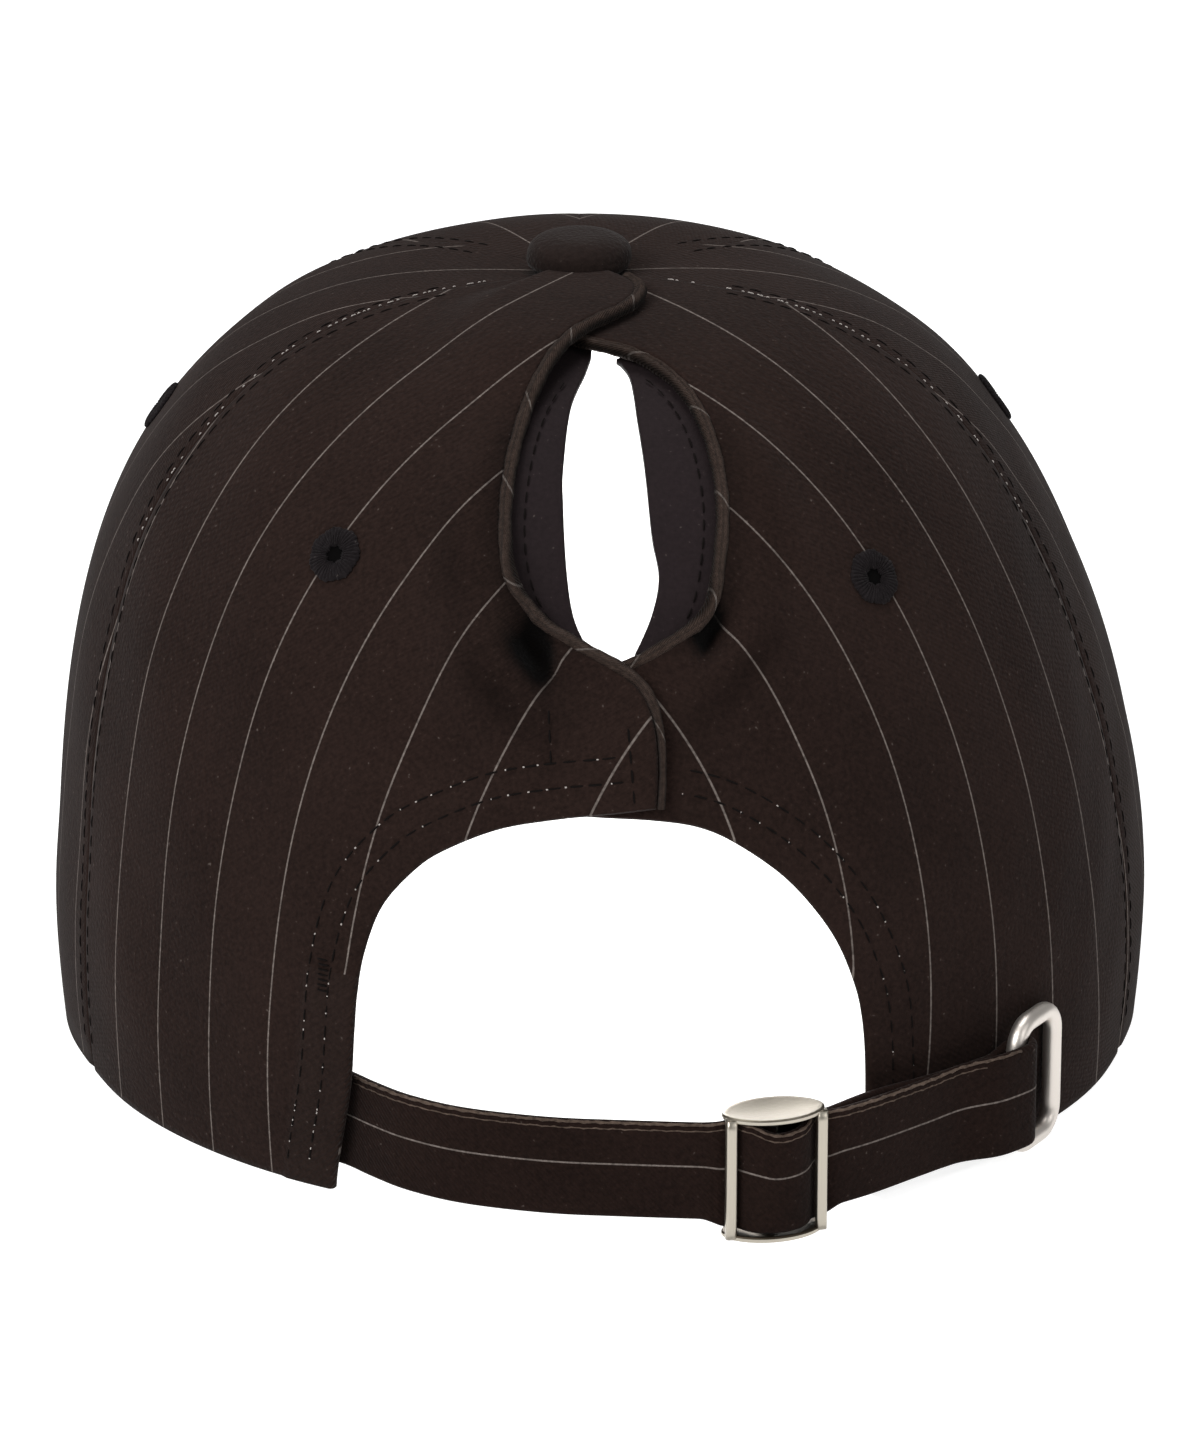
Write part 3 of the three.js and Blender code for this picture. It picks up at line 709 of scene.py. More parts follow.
def plain_panel(name, start, end, middle):
    columns, rows = 90, 120
    share = np.linspace(0, 1, columns)[None]
    rough = start + (end - start) * share
    low = rim_climb(rough)
    level = np.linspace(0, 1, rows)[:, None] ** 0.9
    climb = low + (TOP_CLIMB - low) * level
    reach = HALF_WIDTH * spread(rough, climb)
    around = rough - np.degrees(GAP / 2 / reach) * (1 - 2 * share)
    outer, inner = crown(around, climb), crown(around, climb, WALL)
    points, faces = shell(outer, inner)
    grain = np.concatenate([centred_grain(outer, middle).reshape(-1, 3)] * 2)
    obj = make_object(name, points, faces, twill_cloth, grain)
    return obj, rows, columns


settle(back_panel("back_panel_left", SEAM_LEFT, LEFT_EDGE, lap_lift),
       "pinstripe_twill", "crown_back_left")
settle(back_panel("back_panel_right", SEAM_RIGHT, RIGHT_EDGE, no_lift),
       "pinstripe_twill", "crown_back_right")
for name, start, end, middle, node in (
        ("side_panel_left", -SEAM_FRONT, SEAM_LEFT, -97.5, "crown_side_left"),
        ("side_panel_right", SEAM_RIGHT, SEAM_FRONT, 100.0,
         "crown_side_right"),
        ("front_panel_left", -180.0, -SEAM_FRONT, -153.0, "crown_front_left"),
        ("front_panel_right", SEAM_FRONT, 180.0, 153.0, "crown_front_right")):
    obj, rows, columns = plain_panel(name, start, end, middle)
    if name.startswith("front"):
        count = (rows - 1) * (columns - 1)
        inside = np.zeros(len(obj.data.polygons), dtype=np.int32)
        inside[count:2 * count] = 1
        paint(obj, inside, pale_lining)
    settle(obj, "pinstripe_twill", node)


# ------------------------------------------------------- binding and facings
def binding(name, edge, lowest, highest, side, lift):
    line = edge_line(edge)
    line = line[(line[:, 1] >= lowest) & (line[:, 1] <= highest)]
    seat = even(crown(line[:, 0], line[:, 1], WALL / 2
                      - lift(line[:, 0], line[:, 1])), PIPING_STEP)
    place = np.linspace(0, 1, len(seat))
    source = np.linspace(0, 1, len(line))
    out = crown_normal(np.interp(place, source, line[:, 0]),
                       np.interp(place, source, line[:, 1]))
    along = unit(np.gradient(seat, axis=0))
    across = unit(np.cross(along, out))
    out = np.cross(across, along)
    centre = seat + across * side * (PIPING - 0.35)
    run = np.arange(len(seat)) * PIPING_STEP
    radius = PIPING * (1 + 0.05 * np.sin(run * 0.9) + 0.03 * np.sin(run * 2.3))
    climbs = np.interp(place, source, line[:, 1])
    radius = radius * (1 - 0.45 * smooth(climbs, 38, 31) * (side > 0))
    sides = 20
    points, faces = tube(centre, out, across, radius, sides)
    turn = np.linspace(0, 2 * np.pi, sides, endpoint=False)
    lead = run[:, None] + 1.6 * np.sin(turn)[None] * PIPING
    bias = turn[None] * PIPING + 0 * run[:, None]
    grain = np.stack([lead / 16.0 + 0.3, lead, bias], -1).reshape(-1, 3)
    # Painted shade on the piping's sides, as if lit from the front.
    painted_flank_shade = 0.85 * np.abs(np.sin(turn)) ** 2.5
    shade = np.repeat(painted_flank_shade[None], len(run), 0).ravel()
    return make_object(name, points, faces, piping_cloth, grain, shade)


settle(binding("piping_left", LEFT_EDGE, 27.0, 88.2, 1, lap_lift),
       "piping", "binding_left")
settle(binding("piping_right", RIGHT_EDGE, 37.6, 82.4, -1, no_lift),
       "piping", "binding_right")


def edge_at(edge, climb):
    line = edge_line(edge)
    return np.interp(climb, line[:, 1], line[:, 0])


def facing(name, edge, inner_edge, side):
    inner_line = catmull(inner_edge, 90)
    climb = inner_line[:, 1]
    under = 2.4 + 5 * smooth(climb, 74, 80)
    outer_side = edge_at(edge, climb) + side * under
    share = np.linspace(0, 1, 24)[None]
    width = (inner_line[:, 0] - outer_side)[:, None]
    around = outer_side[:, None] + width * share
    climbs = np.repeat(climb[:, None], 24, 1)
    start = WALL / 2 + PIPING + 0.1
    sag = 0.9 * share ** 2
    outer = crown(around, climbs, start + sag)
    inner = crown(around, climbs, start + FACING + sag)
    points, faces = shell(outer, inner)
    span = np.stack([0 * around, around * 1.4, climbs * 1.6], -1)
    grain = np.concatenate([span.reshape(-1, 3)] * 2)
    return make_object(name, points, faces, facing_cloth, grain)


settle(facing("facing_strip_left", LEFT_EDGE, LEFT_FACING, -1),
       "facing_cloth", "facing_left")
settle(facing("facing_strip_right", RIGHT_EDGE, RIGHT_FACING, 1),
       "facing_cloth", "facing_right")


# -------------------------------------------------------------------- button
def button():
    turn = np.linspace(0, np.pi / 2, 18)
    profile = [(BUTTON_RADIUS * 0.62, -3.6), (BUTTON_RADIUS * 0.62, -2.0),
               (BUTTON_RADIUS * 0.86, -1.9), (BUTTON_RADIUS * 0.97, -1.2),
               (BUTTON_RADIUS * 1.005, -0.4)]
    profile += [(BUTTON_RADIUS * math.cos(t) ** 0.5, 3.6 * math.sin(t) ** 0.85)
                for t in turn[:-1]]
    sides = 72
    angle = np.linspace(0, 2 * np.pi, sides, endpoint=False)
    centre = np.array([-LEAN, 0, HEIGHT + LAP + GAP])
    rings = []
    for radius, up in profile:
        wobble = radius * (1 + 0.012 * np.sin(3 * angle + up))
        rings.append(np.stack([wobble * np.cos(angle), wobble * np.sin(angle),
                               np.full(sides, up)], -1))
    points = (np.array(rings) + centre).reshape(-1, 3)
    points = np.concatenate([points, [centre + [0, 0, 3.6],
                                      centre + [0, 0, -3.6]]])
    faces = grid_faces(len(rings), sides, wrap=True)
    top, bottom = len(points) - 2, len(points) - 1
    base = (len(rings) - 1) * sides
    for k in range(sides):
        n = (k + 1) % sides
        faces.append((base + k, base + n, top))
        faces.append((n, k, bottom))
    grain = np.stack([0 * points[:, 0], points[:, 0], points[:, 1]], -1)
    return make_object("covered_button", points, faces, button_cloth, grain)


settle(button(), "button_cloth", "button")


# ------------------------------------------------------------------- eyelets
def eyelet(name, around, climb):
    out = crown_normal(np.array(around), np.array(climb))
    seat = crown(np.array(around), np.array(climb))
    across = unit(np.cross(out, [0, 0, 1.0]))
    up = np.cross(across, out)
    sides, segments, ridges = 18, 288, 40
    turn = np.linspace(0, 2 * np.pi, segments, endpoint=False)
    section = np.linspace(0, 2 * np.pi, sides, endpoint=False)
    ridge = 0.22 * np.abs(np.sin(turn * ridges / 2))[:, None]
    fray = 0.12 * np.sin(turn * 7 + around) + 0.07 * np.sin(turn * 23)
    radius = 2.7 + (1.45 + fray[:, None]) * np.cos(section)[None]
    height = 0.5 * np.sin(section)[None] + ridge
    points = (seat + out * 0.05
              + across * (radius * np.cos(turn)[:, None])[..., None]
              + up * (radius * np.sin(turn)[:, None])[..., None]
              + out * (height + 0 * radius)[..., None])
    faces = grid_faces(segments, sides, wrap=True)
    faces += ring_closure(segments, sides)
    points = points.reshape(-1, 3)
    count = len(points)
    # A near-black disc in the eyelet's middle: painted shade where the hole
    # would be, as the cloth is not cut.
    turn = np.linspace(0, 2 * np.pi, 24, endpoint=False)
    disc = (seat + out * 0.06 + 1.9 * (across * np.cos(turn)[:, None]
                                       + up * np.sin(turn)[:, None]))
    points = np.concatenate([points, disc])
    faces.append(tuple(range(count, count + len(turn))))
    obj = make_object(name, points, faces, eyelet_thread)
    paint(obj, [int(len(face.vertices) == len(turn))
                for face in obj.data.polygons], eyelet_hole_painted_shade)
    return obj


EYELETS = {"back_left": (-32.0, 48.4), "back_right": (38.5, 45.0),
           "side_left": (-96.0, 50.0), "side_right": (99.0, 50.0),
           "front_left": (-152.0, 50.0), "front_right": (152.0, 50.0)}
for place, (around, climb) in EYELETS.items():
    settle(eyelet(f"stitched_eyelet_{place}", around, climb),
           "eyelet_thread", f"eyelet_{place}")


# ---------------------------------------------------------------------- peak
def peak():
    share = np.linspace(-1, 1, 150)
    around = 180 - (180 - PEAK_TIP) * share
    foot_x = HALF_WIDTH * np.sin(np.radians(around))
    foot_y = -FRONT * np.cos(np.radians(around))
    top = climb_at(peak_under(foot_x, foot_y) + PEAK_THICK)
    folded = np.where(around > 180, around - 360, around)
    root = crown(folded, top, 0.6)
    tip = crown(PEAK_TIP, 0.0)
    turn = np.pi / 2 * np.abs(share)
    power = 2 / 2.4
    x = np.sign(share) * HALF_WIDTH * np.sin(turn) ** power
    ease = 0.15 + 0.85 * smooth(1 - np.abs(share), 0, 0.06)
    x = root[:, 0] + (x - root[:, 0]) * ease
    reach = FRONT + PEAK_LENGTH - tip[1]
    y = tip[1] + reach * np.clip(np.cos(turn), 0, 1) ** power
    rim = np.array([0.75, 0.4, 0.15, 0.02]) / PEAK_LENGTH
    level = np.concatenate([np.linspace(0, 1 - 0.03, 50), 1 - rim])
    px = root[:, 0] + (x - root[:, 0]) * level[:, None]
    py = root[:, 1] + (y - root[:, 1]) * level[:, None]
    under = peak_under(px, py)
    away = (1 - level) * PEAK_LENGTH
    half = PEAK_THICK / 2
    near = np.clip(1 - away / half, 0, 1)
    roll = (half * (1 - np.sqrt(np.clip(1 - near ** 2, 0, 1))))[:, None]
    upper = np.stack([px, py, under + PEAK_THICK - roll], -1)
    lower = np.stack([px, py, under + roll], -1)
    points, faces = shell(upper, lower)
    grain = np.stack([px / STRIPE_SPACING, px, py], -1).reshape(-1, 3)
    obj = make_object("peak_cloth", points, faces, twill_cloth,
                      np.concatenate([grain, grain]))
    return obj, px, py


peak_object, peak_x, peak_y = peak()
settle(peak_object, "pinstripe_twill", "peak")


# --------------------------------------------------------- strap and fittings
STRAP_TOP = STRAP_BOTTOM + STRAP_WIDTH


def plan(around, stand):
    """The x and y of a point off the bare crown, at the strap's top edge."""
    share = spread(around, climb_at(STRAP_TOP))
    turn = np.radians(around)
    return np.array([(HALF_WIDTH + stand) * share * np.sin(turn),
                     -(BACK + stand) * share * np.cos(turn)])


UNDER_LAYER = GAP + STRAP_THICK / 2
OVER_LAYER = UNDER_LAYER + STRAP_THICK + GAP
BAR_STAND = 3 * GAP + STRAP_THICK + RING_WIRE
INSIDE_STAND = -(WALL + 3 * GAP + STRAP_THICK / 2 + RIM_TUCK * HALF_WIDTH)
STRAP_BOW = 5.2
LAYER_LIFT = 1.6
SLIDER_AROUND, SLIDER_STAND = 15.7, 7.0
RING_LEFT, RING_RIGHT = 44.0, 51.9
slider_at = plan(SLIDER_AROUND, SLIDER_STAND)
slider_out = unit(plan(SLIDER_AROUND, SLIDER_STAND + 1) - slider_at)
slider_along = np.array([-slider_out[1], slider_out[0]])


def on_slider(along, out):
    return slider_at + slider_along * along + slider_out * out


WRAP = MIDDLE_BAR + GAP + STRAP_THICK / 2
SWELL = WRAP + STRAP_THICK + 3 * GAP
SIDE_BAR_OUT = MIDDLE_BAR + STRAP_THICK / 2
THROUGH = SIDE_BAR_OUT - 2 * GAP - STRAP_THICK / 2
SIDE_BAR_AT = SLIDER_HALF - SLIDER_BAR / 2
ring_bar = plan(RING_LEFT, BAR_STAND)
ring_out = plan(RING_LEFT, BAR_STAND + 1) - ring_bar
FOLD = RING_WIRE + 2 * GAP + STRAP_THICK / 2


def on_bow(around, share):
    return plan(around, INSIDE_STAND + (STRAP_BOW - INSIDE_STAND) * share)


def arc(centre, radius, start, end, steps):
    turn = np.linspace(start, end, steps)
    return centre + radius * np.stack([np.cos(turn), np.sin(turn)], -1)


def strap():
    outer = catmull([
        on_bow(-40, 0), on_bow(-34, 0), on_bow(-28, 0), on_bow(-23.5, 0.25),
        on_bow(-19, 0.52), on_bow(-13, 0.75), on_bow(-5, 0.9), on_bow(2, 1),
        on_slider(-1.25 * SIDE_BAR_AT, THROUGH),
        on_slider(-SIDE_BAR_AT, THROUGH),
        on_slider(-0.8 * SIDE_BAR_AT, THROUGH),
        on_slider(-0.5 * SIDE_BAR_AT, 0.76 * SWELL), on_slider(0, SWELL),
        on_slider(0.5 * SIDE_BAR_AT, 0.76 * SWELL),
        on_slider(0.8 * SIDE_BAR_AT, THROUGH),
        on_slider(SIDE_BAR_AT, THROUGH),
        on_slider(1.25 * SIDE_BAR_AT, THROUGH),
        on_bow(SLIDER_AROUND + 10, 1.12),
        plan(RING_LEFT - 12, OVER_LAYER + LAYER_LIFT),
        plan(RING_LEFT - 7.5, OVER_LAYER + 0.7 * LAYER_LIFT),
        plan(RING_LEFT - 3.7, BAR_STAND + FOLD - GAP),
        plan(RING_LEFT - 1, BAR_STAND + FOLD)], 400)
    turn = math.atan2(ring_out[1], ring_out[0])
    fold = arc(ring_bar, FOLD, turn, turn + math.pi, 30)
    inner = catmull([
        plan(RING_LEFT - 3, UNDER_LAYER), plan(RING_LEFT - 6, UNDER_LAYER),
        plan(RING_LEFT - 11, UNDER_LAYER),
        plan(RING_LEFT - 15, UNDER_LAYER + 0.5 * GAP),
        plan(RING_LEFT - 18, UNDER_LAYER + 0.6 * LAYER_LIFT),
        on_slider(1.1 * SIDE_BAR_AT, -WRAP - 2 * GAP),
        on_slider(0.5 * SIDE_BAR_AT, -WRAP)], 120)
    turn = math.atan2(slider_out[1], slider_out[0])
    wrap = arc(slider_at, WRAP, turn - math.pi, turn, 24)
    line = soften(even(np.concatenate([outer, fold, inner, wrap]), 0.6), 3)
    along = unit(np.gradient(line, axis=0))
    side = np.stack([-along[:, 1], along[:, 0]], -1)
    half, radius = STRAP_THICK / 2, STRAP_THICK / 2 * 0.95
    rows = np.concatenate([
        STRAP_BOTTOM + radius * (1 - np.cos(np.linspace(0, np.pi / 2, 6))),
        np.linspace(STRAP_BOTTOM + radius, STRAP_TOP - radius, 34)[1:-1],
        STRAP_TOP - radius * (1 - np.cos(np.linspace(np.pi / 2, 0, 6)))])
    edge = np.minimum(rows - STRAP_BOTTOM, STRAP_TOP - rows)
    near = np.clip(1 - edge / radius, 0, 1)
    thick = half * np.sqrt(np.clip(1 - near ** 2, 0.0025, 1))
    run = lengths(line)
    profile = []
    for sign, order in ((1, slice(None)), (-1, slice(None, None, -1))):
        for z, t in zip(rows[order], thick[order]):
            profile.append((sign * t, z))
    points = np.array([[(*(p + s * t), z) for t, z in profile]
                       for p, s in zip(line, side)])
    away = np.abs((line - slider_at) @ slider_along)
    ahead = (line - slider_at) @ slider_out > -0.5
    snug = smooth(away, 11, 6) * ahead
    dip = np.clip(1 - (away / 6.5) ** 2, 0, 1) * smooth(
        (line - slider_at) @ slider_along, -4.5, -0.5)
    dip = snug * (1.4 * dip - 0.3)
    low_share = (STRAP_TOP - points[..., 2]) / STRAP_WIDTH
    points[..., 2] -= dip[:, None] * (1 - low_share)
    points[..., 2] -= snug[:, None] * 1.6 * low_share
    fold_run = run[np.argmax(line[:, 0])]
    rise = 1.2 * smooth(run, fold_run - 22, fold_run - 4)
    rise = rise - 2.4 * smooth(run, fold_run + 2, fold_run + 9)
    rise = rise * (1 - smooth(run, run[-1] - 16, run[-1] - 9))
    points[..., 2] += rise[:, None] * (1 - low_share)
    top = STRAP_TOP - dip + rise
    count = len(profile)
    faces = grid_faces(len(line), count, wrap=True)
    faces += end_caps(len(line), count)
    z = np.array([p[1] for p in profile])
    number = (z - (STRAP_BOTTOM + 0.56 * STRAP_WIDTH)) / STRIPE_SPACING
    grain = np.stack([np.repeat(number[None], len(line), 0),
                      np.repeat(z[None], len(line), 0),
                      np.repeat(run[:, None], count, 1)], -1)
    obj = make_object("strap_band", points.reshape(-1, 3), faces, strap_cloth_painted_shade,
                      grain.reshape(-1, 3))
    return obj, line, side, run, top


strap_object, strap_line, strap_side, strap_run, strap_top = strap()
settle(strap_object, "pinstripe_twill", "strap")


def lens_plate(low, high, dish):
    """An oval plate with a rounded rim and a dished upper face."""
    turn = np.linspace(0, 2 * np.pi, 96, endpoint=False)
    shape = np.sign(np.sin(turn)) * np.abs(np.sin(turn)) ** 1.15
    half = (high - low) / 2
    rings = []
    for share in np.linspace(0.004, 0.94, 14):
        rings.append((share, high - dish * math.cos(share * math.pi / 2)))
    for angle in np.linspace(0.5, np.pi - 0.5, 7):
        rings.append((1 - 0.05 * (1 - math.sin(angle)),
                      low + half + half * math.cos(angle)))
    for share in np.linspace(0.92, 0.004, 6):
        rings.append((share, low))
    points = []
    for share, z in rings:
        for t, bow in zip(turn, shape):
            p = on_slider(SLIDER_HALF * share * math.cos(t),
                          0.06 * SLIDER_DEPTH + SLIDER_DEPTH / 2 * share * bow)
            points.append((p[0], p[1], z))
    faces = grid_faces(len(rings), len(turn), wrap=True)
    return points, faces + end_caps(len(rings), len(turn))


def upright(along, out, half_width, half_depth, low, high, power):
    """A bar with a rounded section between the plates."""
    turn = np.linspace(0, 2 * np.pi, 32, endpoint=False)
    levels = np.linspace(low, high, 12)
    points = []
    for z in levels:
        for t in turn:
            across = math.copysign(abs(math.cos(t)) ** power, math.cos(t))
            deep = math.copysign(abs(math.sin(t)) ** power, math.sin(t))
            p = on_slider(along + half_width * across, out + half_depth * deep)
            points.append((p[0], p[1], z))
    faces = grid_faces(len(levels), len(turn), wrap=True)
    return points, faces + end_caps(len(levels), len(turn))


def slider():
    inside = (0.4 * SLIDER_PLATE, SLIDER_HEIGHT - 0.4 * SLIDER_PLATE)
    bar_out = SIDE_BAR_OUT + 0.7
    parts = [lens_plate(0.0, SLIDER_PLATE, 0.1),
             lens_plate(SLIDER_HEIGHT - SLIDER_PLATE, SLIDER_HEIGHT, 0.45),
             upright(-SLIDER_HALF + 0.9, bar_out, 0.85, 0.75, *inside, 0.6),
             upright(SLIDER_HALF - 0.9, bar_out, 0.85, 0.75, *inside, 0.6),
             upright(0, 0, MIDDLE_BAR, MIDDLE_BAR, 0.4 * SLIDER_PLATE,
                     SLIDER_HEIGHT - 0.75 * SLIDER_PLATE, 1)]
    points, faces = [], []
    for part_points, part_faces in parts:
        base = len(points)
        points += part_points
        faces += [tuple(base + k for k in face) for face in part_faces]
    obj = make_object("strap_slider", points, faces, nickel)
    index = []
    for p in obj.data.polygons:
        low = min(points[k][2] for k in p.vertices)
        high = max(points[k][2] for k in p.vertices)
        # The bottom plate's upper face gets the painted-shade nickel.
        in_painted_shade = low > 0.6 * SLIDER_PLATE and high < 2 * SLIDER_PLATE
        # The top plate's upper faces get the darker, painted-shade nickel.
        on_top = low > SLIDER_HEIGHT - SLIDER_PLATE / 2
        index.append(2 if in_painted_shade else int(on_top))
    paint(obj, index, plate_nickel_painted_dark, nickel_painted_shade)
    return obj


settle(slider(), "satin_nickel", "slider")


def ring():
    far = plan(RING_RIGHT - 0.6, RING_WIRE + GAP)
    along = far - ring_bar
    span = np.linalg.norm(along)
    along = along / span
    low = RING_WIRE + FLOOR_CLEAR
    high = low + RING_HEIGHT - 2 * RING_WIRE
    corner = RING_CORNER + 1.2
    path = []
    for run, up, start in ((span - corner, high - corner, 0),
                           (corner, high - corner, math.pi / 2),
                           (corner, low + corner, math.pi),
                           (span - corner, low + corner, 1.5 * math.pi)):
        for turn in np.linspace(start, start + math.pi / 2, 12):
            r = run + corner * math.cos(turn)
            path.append((ring_bar[0] + along[0] * r,
                         ring_bar[1] + along[1] * r,
                         up + corner * math.sin(turn)))
    path = np.array(path)
    path = even(np.concatenate([path, path[:1]]), 0.5)[:-1]
    tangent = unit(np.roll(path, -1, 0) - np.roll(path, 1, 0))
    face = np.array([along[1], -along[0], 0.0])
    second = np.repeat(face[None], len(path), 0)
    first = np.cross(second, tangent)
    points, faces = tube(path, first, second, 1.1 * RING_WIRE, 20, closed=True)
    return make_object("strap_ring", points, faces, ring_nickel_painted_light)


settle(ring(), "satin_nickel", "ring")


# -------------------------------------------------------------------- stitches
def stitches(name, rows, material, length=2.1, space=0.85, thick=0.15,
             keep=1.0, jitter=0.12):
    """Short thread dashes along rows of points with their outward normals."""
    points, faces = [], []
    sides = 6
    shape = ((0.0, 0.25, -0.5), (0.12, 0.85, 0.1), (0.5, 1.0, 0.55),
             (0.88, 0.85, 0.1), (1.0, 0.25, -0.5))
    turn = np.linspace(0, 2 * np.pi, sides, endpoint=False)
    for path, normal in rows:
        run = lengths(path)
        place = 0.0
        while place + length < run[-1]:
            start = place + RNG.normal(0, jitter)
            place += length + space
            if RNG.random() > keep:
                continue
            size = thick * RNG.uniform(0.85, 1.15)
            base = len(points)
            at = lambda s, data: np.array([np.interp(s, run, data[:, k])
                                           for k in range(3)])
            ahead = at(start + length, path) - at(start, path)
            ahead /= max(np.linalg.norm(ahead), 1e-9)
            for along, girth, rise in shape:
                spot = start + along * length
                out = at(spot, normal)
                side = np.cross(ahead, out)
                centre = at(spot, path) + out * rise * size
                for t in turn:
                    points.append(centre + girth * size * (
                        side * math.cos(t) + out * math.sin(t) * 0.8))
            faces += grid_faces(len(shape), sides, base, wrap=True)
            faces += end_caps(len(shape), sides, base)
    return make_object(name, points, faces, material)


def row_on_crown(around, climb, lift=no_lift, above=0.02):
    around, climb = np.asarray(around, float), np.asarray(climb, float)
    out = crown_normal(around, climb)
    return crown(around, climb, -above - lift(around, climb)), out


def seam_row(seam, shift, low, high):
    climb = np.linspace(low, high, 220)
    reach = HALF_WIDTH * spread(np.full_like(climb, seam), climb)
    return seam + np.degrees(shift / reach), climb


def offset_line(line, distance):
    """A line beside another on the crown, in degrees round and up."""
    around, climb = line[:, 0], line[:, 1]
    across = np.radians(1) * HALF_WIDTH * spread(around, climb)
    below = crown(around, np.maximum(climb - 0.5, 0))
    upward = np.linalg.norm(crown(around, climb + 0.5) - below, axis=-1)
    scale = np.stack([across, upward], -1)
    step = unit(np.gradient(line, axis=0) * scale)
    side = np.stack([-step[:, 1], step[:, 0]], -1) * distance
    return line + side / scale


seam_rows = []
for seam in (SEAM_LEFT, SEAM_RIGHT, SEAM_FRONT, -SEAM_FRONT):
    low = 1.2 if abs(seam) < 90 else 9.0
    for shift in (-1.9, 1.9):
        seam_rows.append(row_on_crown(*seam_row(seam, shift, low, 84)))
for seam, shift in ((180.0, -1.9), (-180.0, 1.9)):
    seam_rows.append(row_on_crown(*seam_row(seam, shift, 9.0, 68)))

left_arch, right_arch = arch_line(-1), arch_line(1)
arch_rows = []
for distance in HEM_ROWS:
    around, climb = offset_line(left_arch, distance).T
    keep = (around < 4.5) & (climb > 0.8)
    arch_rows.append(row_on_crown(around[keep], climb[keep], hem_lift))
    around, climb = offset_line(right_arch, -distance).T
    keep = (around > 9.5) & (climb > 0.8)
    arch_rows.append(row_on_crown(around[keep], climb[keep]))

slit_rows = [
    row_on_crown(np.full(40, -3.6), np.linspace(31, 37, 40), lap_lift),
    row_on_crown(np.full(60, 4.6), np.linspace(27.8, 35, 60), lap_lift)]
tack_rows = []
for climb in np.linspace(12.0, 14.2, 7):
    tack_rows.append(row_on_crown(np.linspace(-29.2, -27.3, 12),
                                  np.full(12, climb), lap_lift, 0.4))
settle(stitches("hem_bar_tack", tack_rows, dark_thread, length=1.9, space=0.2,
                thick=0.16), "eyelet_thread")
settle(stitches("seam_stitches", seam_rows + arch_rows + slit_rows,
                dark_thread), "eyelet_thread")


def facing_row(edge, side, low, high):
    climb = np.linspace(low, high, 160)
    reach = HALF_WIDTH * spread(np.zeros_like(climb), climb)
    around = edge_at(edge, climb) - side * np.degrees(3.4 / reach)
    out = crown_normal(around, climb)
    return crown(around, climb, WALL / 2 + PIPING + 0.1), out


settle(stitches("facing_stitches", [
    facing_row(LEFT_EDGE, -1, 44.5, 76), facing_row(RIGHT_EDGE, 1, 44.5, 75)],
    dark_thread, length=1.9, space=0.9, thick=0.13), "eyelet_thread")

peak_rows = []
for level in (7, 13, 19, 25, 31, 37, 43, 49):
    x, y = peak_x[level], peak_y[level]
    z = peak_under(x, y) + PEAK_THICK + 0.02
    keep = np.abs(x) < HALF_WIDTH - 4
    line = np.stack([x, y, z], -1)[keep]
    peak_rows.append((line, np.repeat([[0, 0, 1.0]], len(line), 0)))
settle(stitches("peak_stitches", peak_rows, dark_thread, length=2.6),
       "eyelet_thread")

for name, below, thick, last in (("strap_edge", 0.22, 0.22, 134),
                                 ("strap_edge_fold", 1.15, 0.13, 128)):
    keep = (strap_run > 20) & (strap_run < last)
    out = -np.append(strap_side[keep], np.zeros((keep.sum(), 1)), 1)
    path = np.append(strap_line[keep], (strap_top[keep] - below)[:, None], 1)
    run = strap_run[keep]
    path = path + out * (STRAP_THICK / 2 + 0.06 - thick)
    path[:, 2] += 0.05 * np.sin(run * 2.1) + 0.04 * np.sin(run * 5.3)
    fray, faces = tube(path, out, np.repeat([[0, 0, 1.0]], len(path), 0),
                       thick * (1 + 0.25 * np.sin(run * 3.1 + below)), 8)
    settle(make_object(name, fray, faces, frayed_edge), "pinstripe_twill")

fleck_rows = []
for seam, low in ((SEAM_LEFT, 40), (SEAM_RIGHT, 40), (SEAM_LEFT, 70),
                  (SEAM_RIGHT, 70)):
    fleck_rows.append(row_on_crown(*seam_row(seam, -0.3, low, 87), above=0.25))
settle(stitches("seam_flecks", fleck_rows, pale_thread, length=0.5, space=0.7,
                thick=0.1, keep=0.45, jitter=0.5), "pinstripe_twill")
settle(stitches("arch_flecks", arch_rows, pale_thread, length=0.35, space=2.6,
                thick=0.12, keep=0.55, jitter=0.5), "pinstripe_twill")
hem_rows = []
for distance in HEM_ROWS:
    around, climb = offset_line(left_arch, distance).T
    keep = (climb > 0.8) & (climb < 13)
    hem_rows.append(row_on_crown(around[keep], climb[keep], hem_lift, 0.08))
settle(stitches("hem_flecks", hem_rows, pale_thread, length=0.4, space=1.2,
                thick=0.1, keep=0.35, jitter=0.6), "pinstripe_twill")


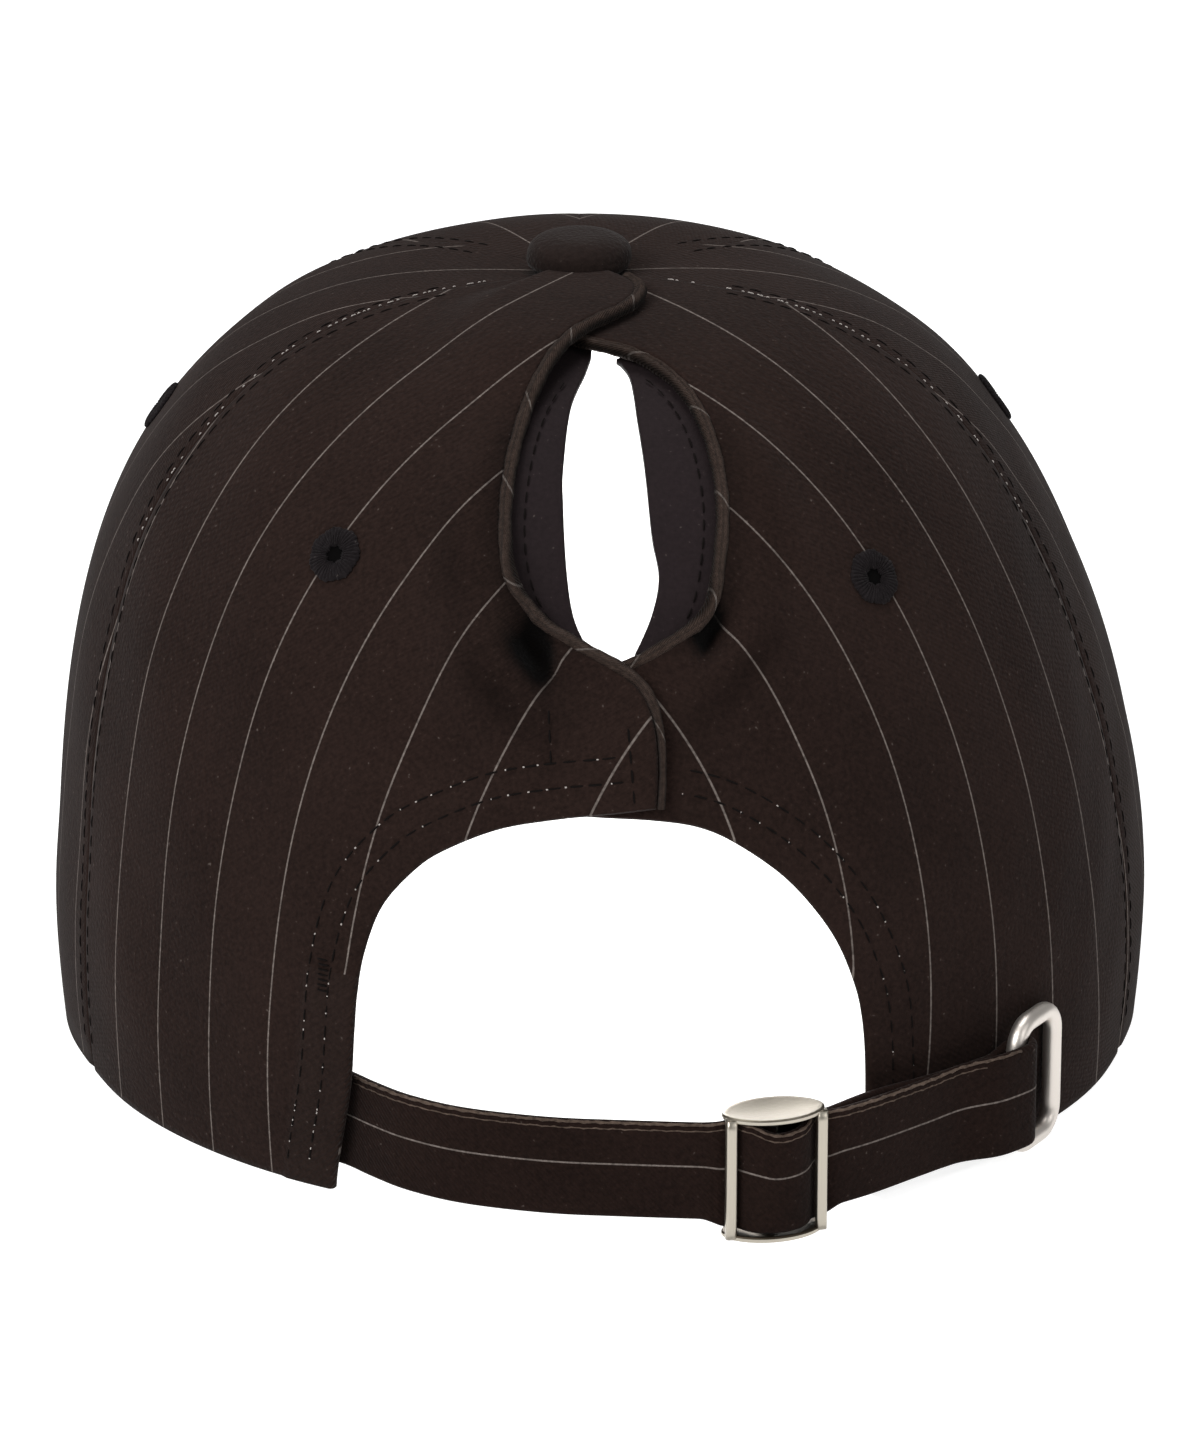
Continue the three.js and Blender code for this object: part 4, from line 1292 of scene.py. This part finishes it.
# --------------------------------------------------------- camera and studio
def place_object(name, data, spot):
    obj = bpy.data.objects.new(name, data)
    obj.location = spot
    bpy.context.scene.collection.objects.link(obj)
    return obj


def look_at(obj, target):
    away = Vector(target) - obj.location
    obj.rotation_euler = away.to_track_quat("-Z", "Y").to_euler()


CAMERA_TILT = math.radians(20)
CAMERA_AIM = np.array([0.0, 14.2, 39.1]) + SHIFT
CAMERA_DISTANCE = 1100.0
back_off = np.array([0, -math.cos(CAMERA_TILT), math.sin(CAMERA_TILT)])
camera_data = bpy.data.cameras.new("camera")
camera_data.sensor_fit = "VERTICAL"
camera_data.sensor_height = 36
camera_data.lens = 171.35
camera = place_object("camera", camera_data,
                      (CAMERA_AIM + back_off * CAMERA_DISTANCE) * MM)
look_at(camera, CAMERA_AIM * MM)
bpy.context.scene.camera = camera

bpy.ops.mesh.primitive_plane_add(size=9, location=(0, 0, 0))
floor = bpy.context.object
floor.name = "floor"
floor_look, _, floor_shader = new_material("floor_white")
put(floor_shader, {"Base Color": (0.45, 0.45, 0.45, 1), "Roughness": 1,
                   "Emission Color": (1, 1, 1, 1), "Emission Strength": 0.85})
floor.data.materials.append(floor_look)

world = bpy.data.worlds.new("studio")
world.use_nodes = True
sky = world.node_tree.nodes["Background"]
sky.inputs[0].default_value = (1, 1, 1, 1)
sky.inputs[1].default_value = 0.3
bpy.context.scene.world = world


def softbox(name, place, size, power, target=(0, 0, 0.06)):
    light = bpy.data.lights.new(name, "AREA")
    light.shape = "RECTANGLE"
    light.size, light.size_y = size
    light.energy = power
    look_at(place_object(name, light, place), target)


softbox("key", (-0.9, -1.25, 1.2), (1.0, 0.8), 29)
softbox("fill", (1.2, -0.9, 0.8), (0.8, 0.8), 5)
softbox("top", (0.0, 0.2, 1.5), (0.9, 0.9), 14)
inner = bpy.data.lights.new("inner_glow", "POINT")
inner.energy = 0.45
inner.shadow_soft_size = 0.02
place_object("inner_glow", inner, (np.array([0, 10, 62]) + SHIFT) * MM)

bpy.context.scene.view_settings.view_transform = "Standard"
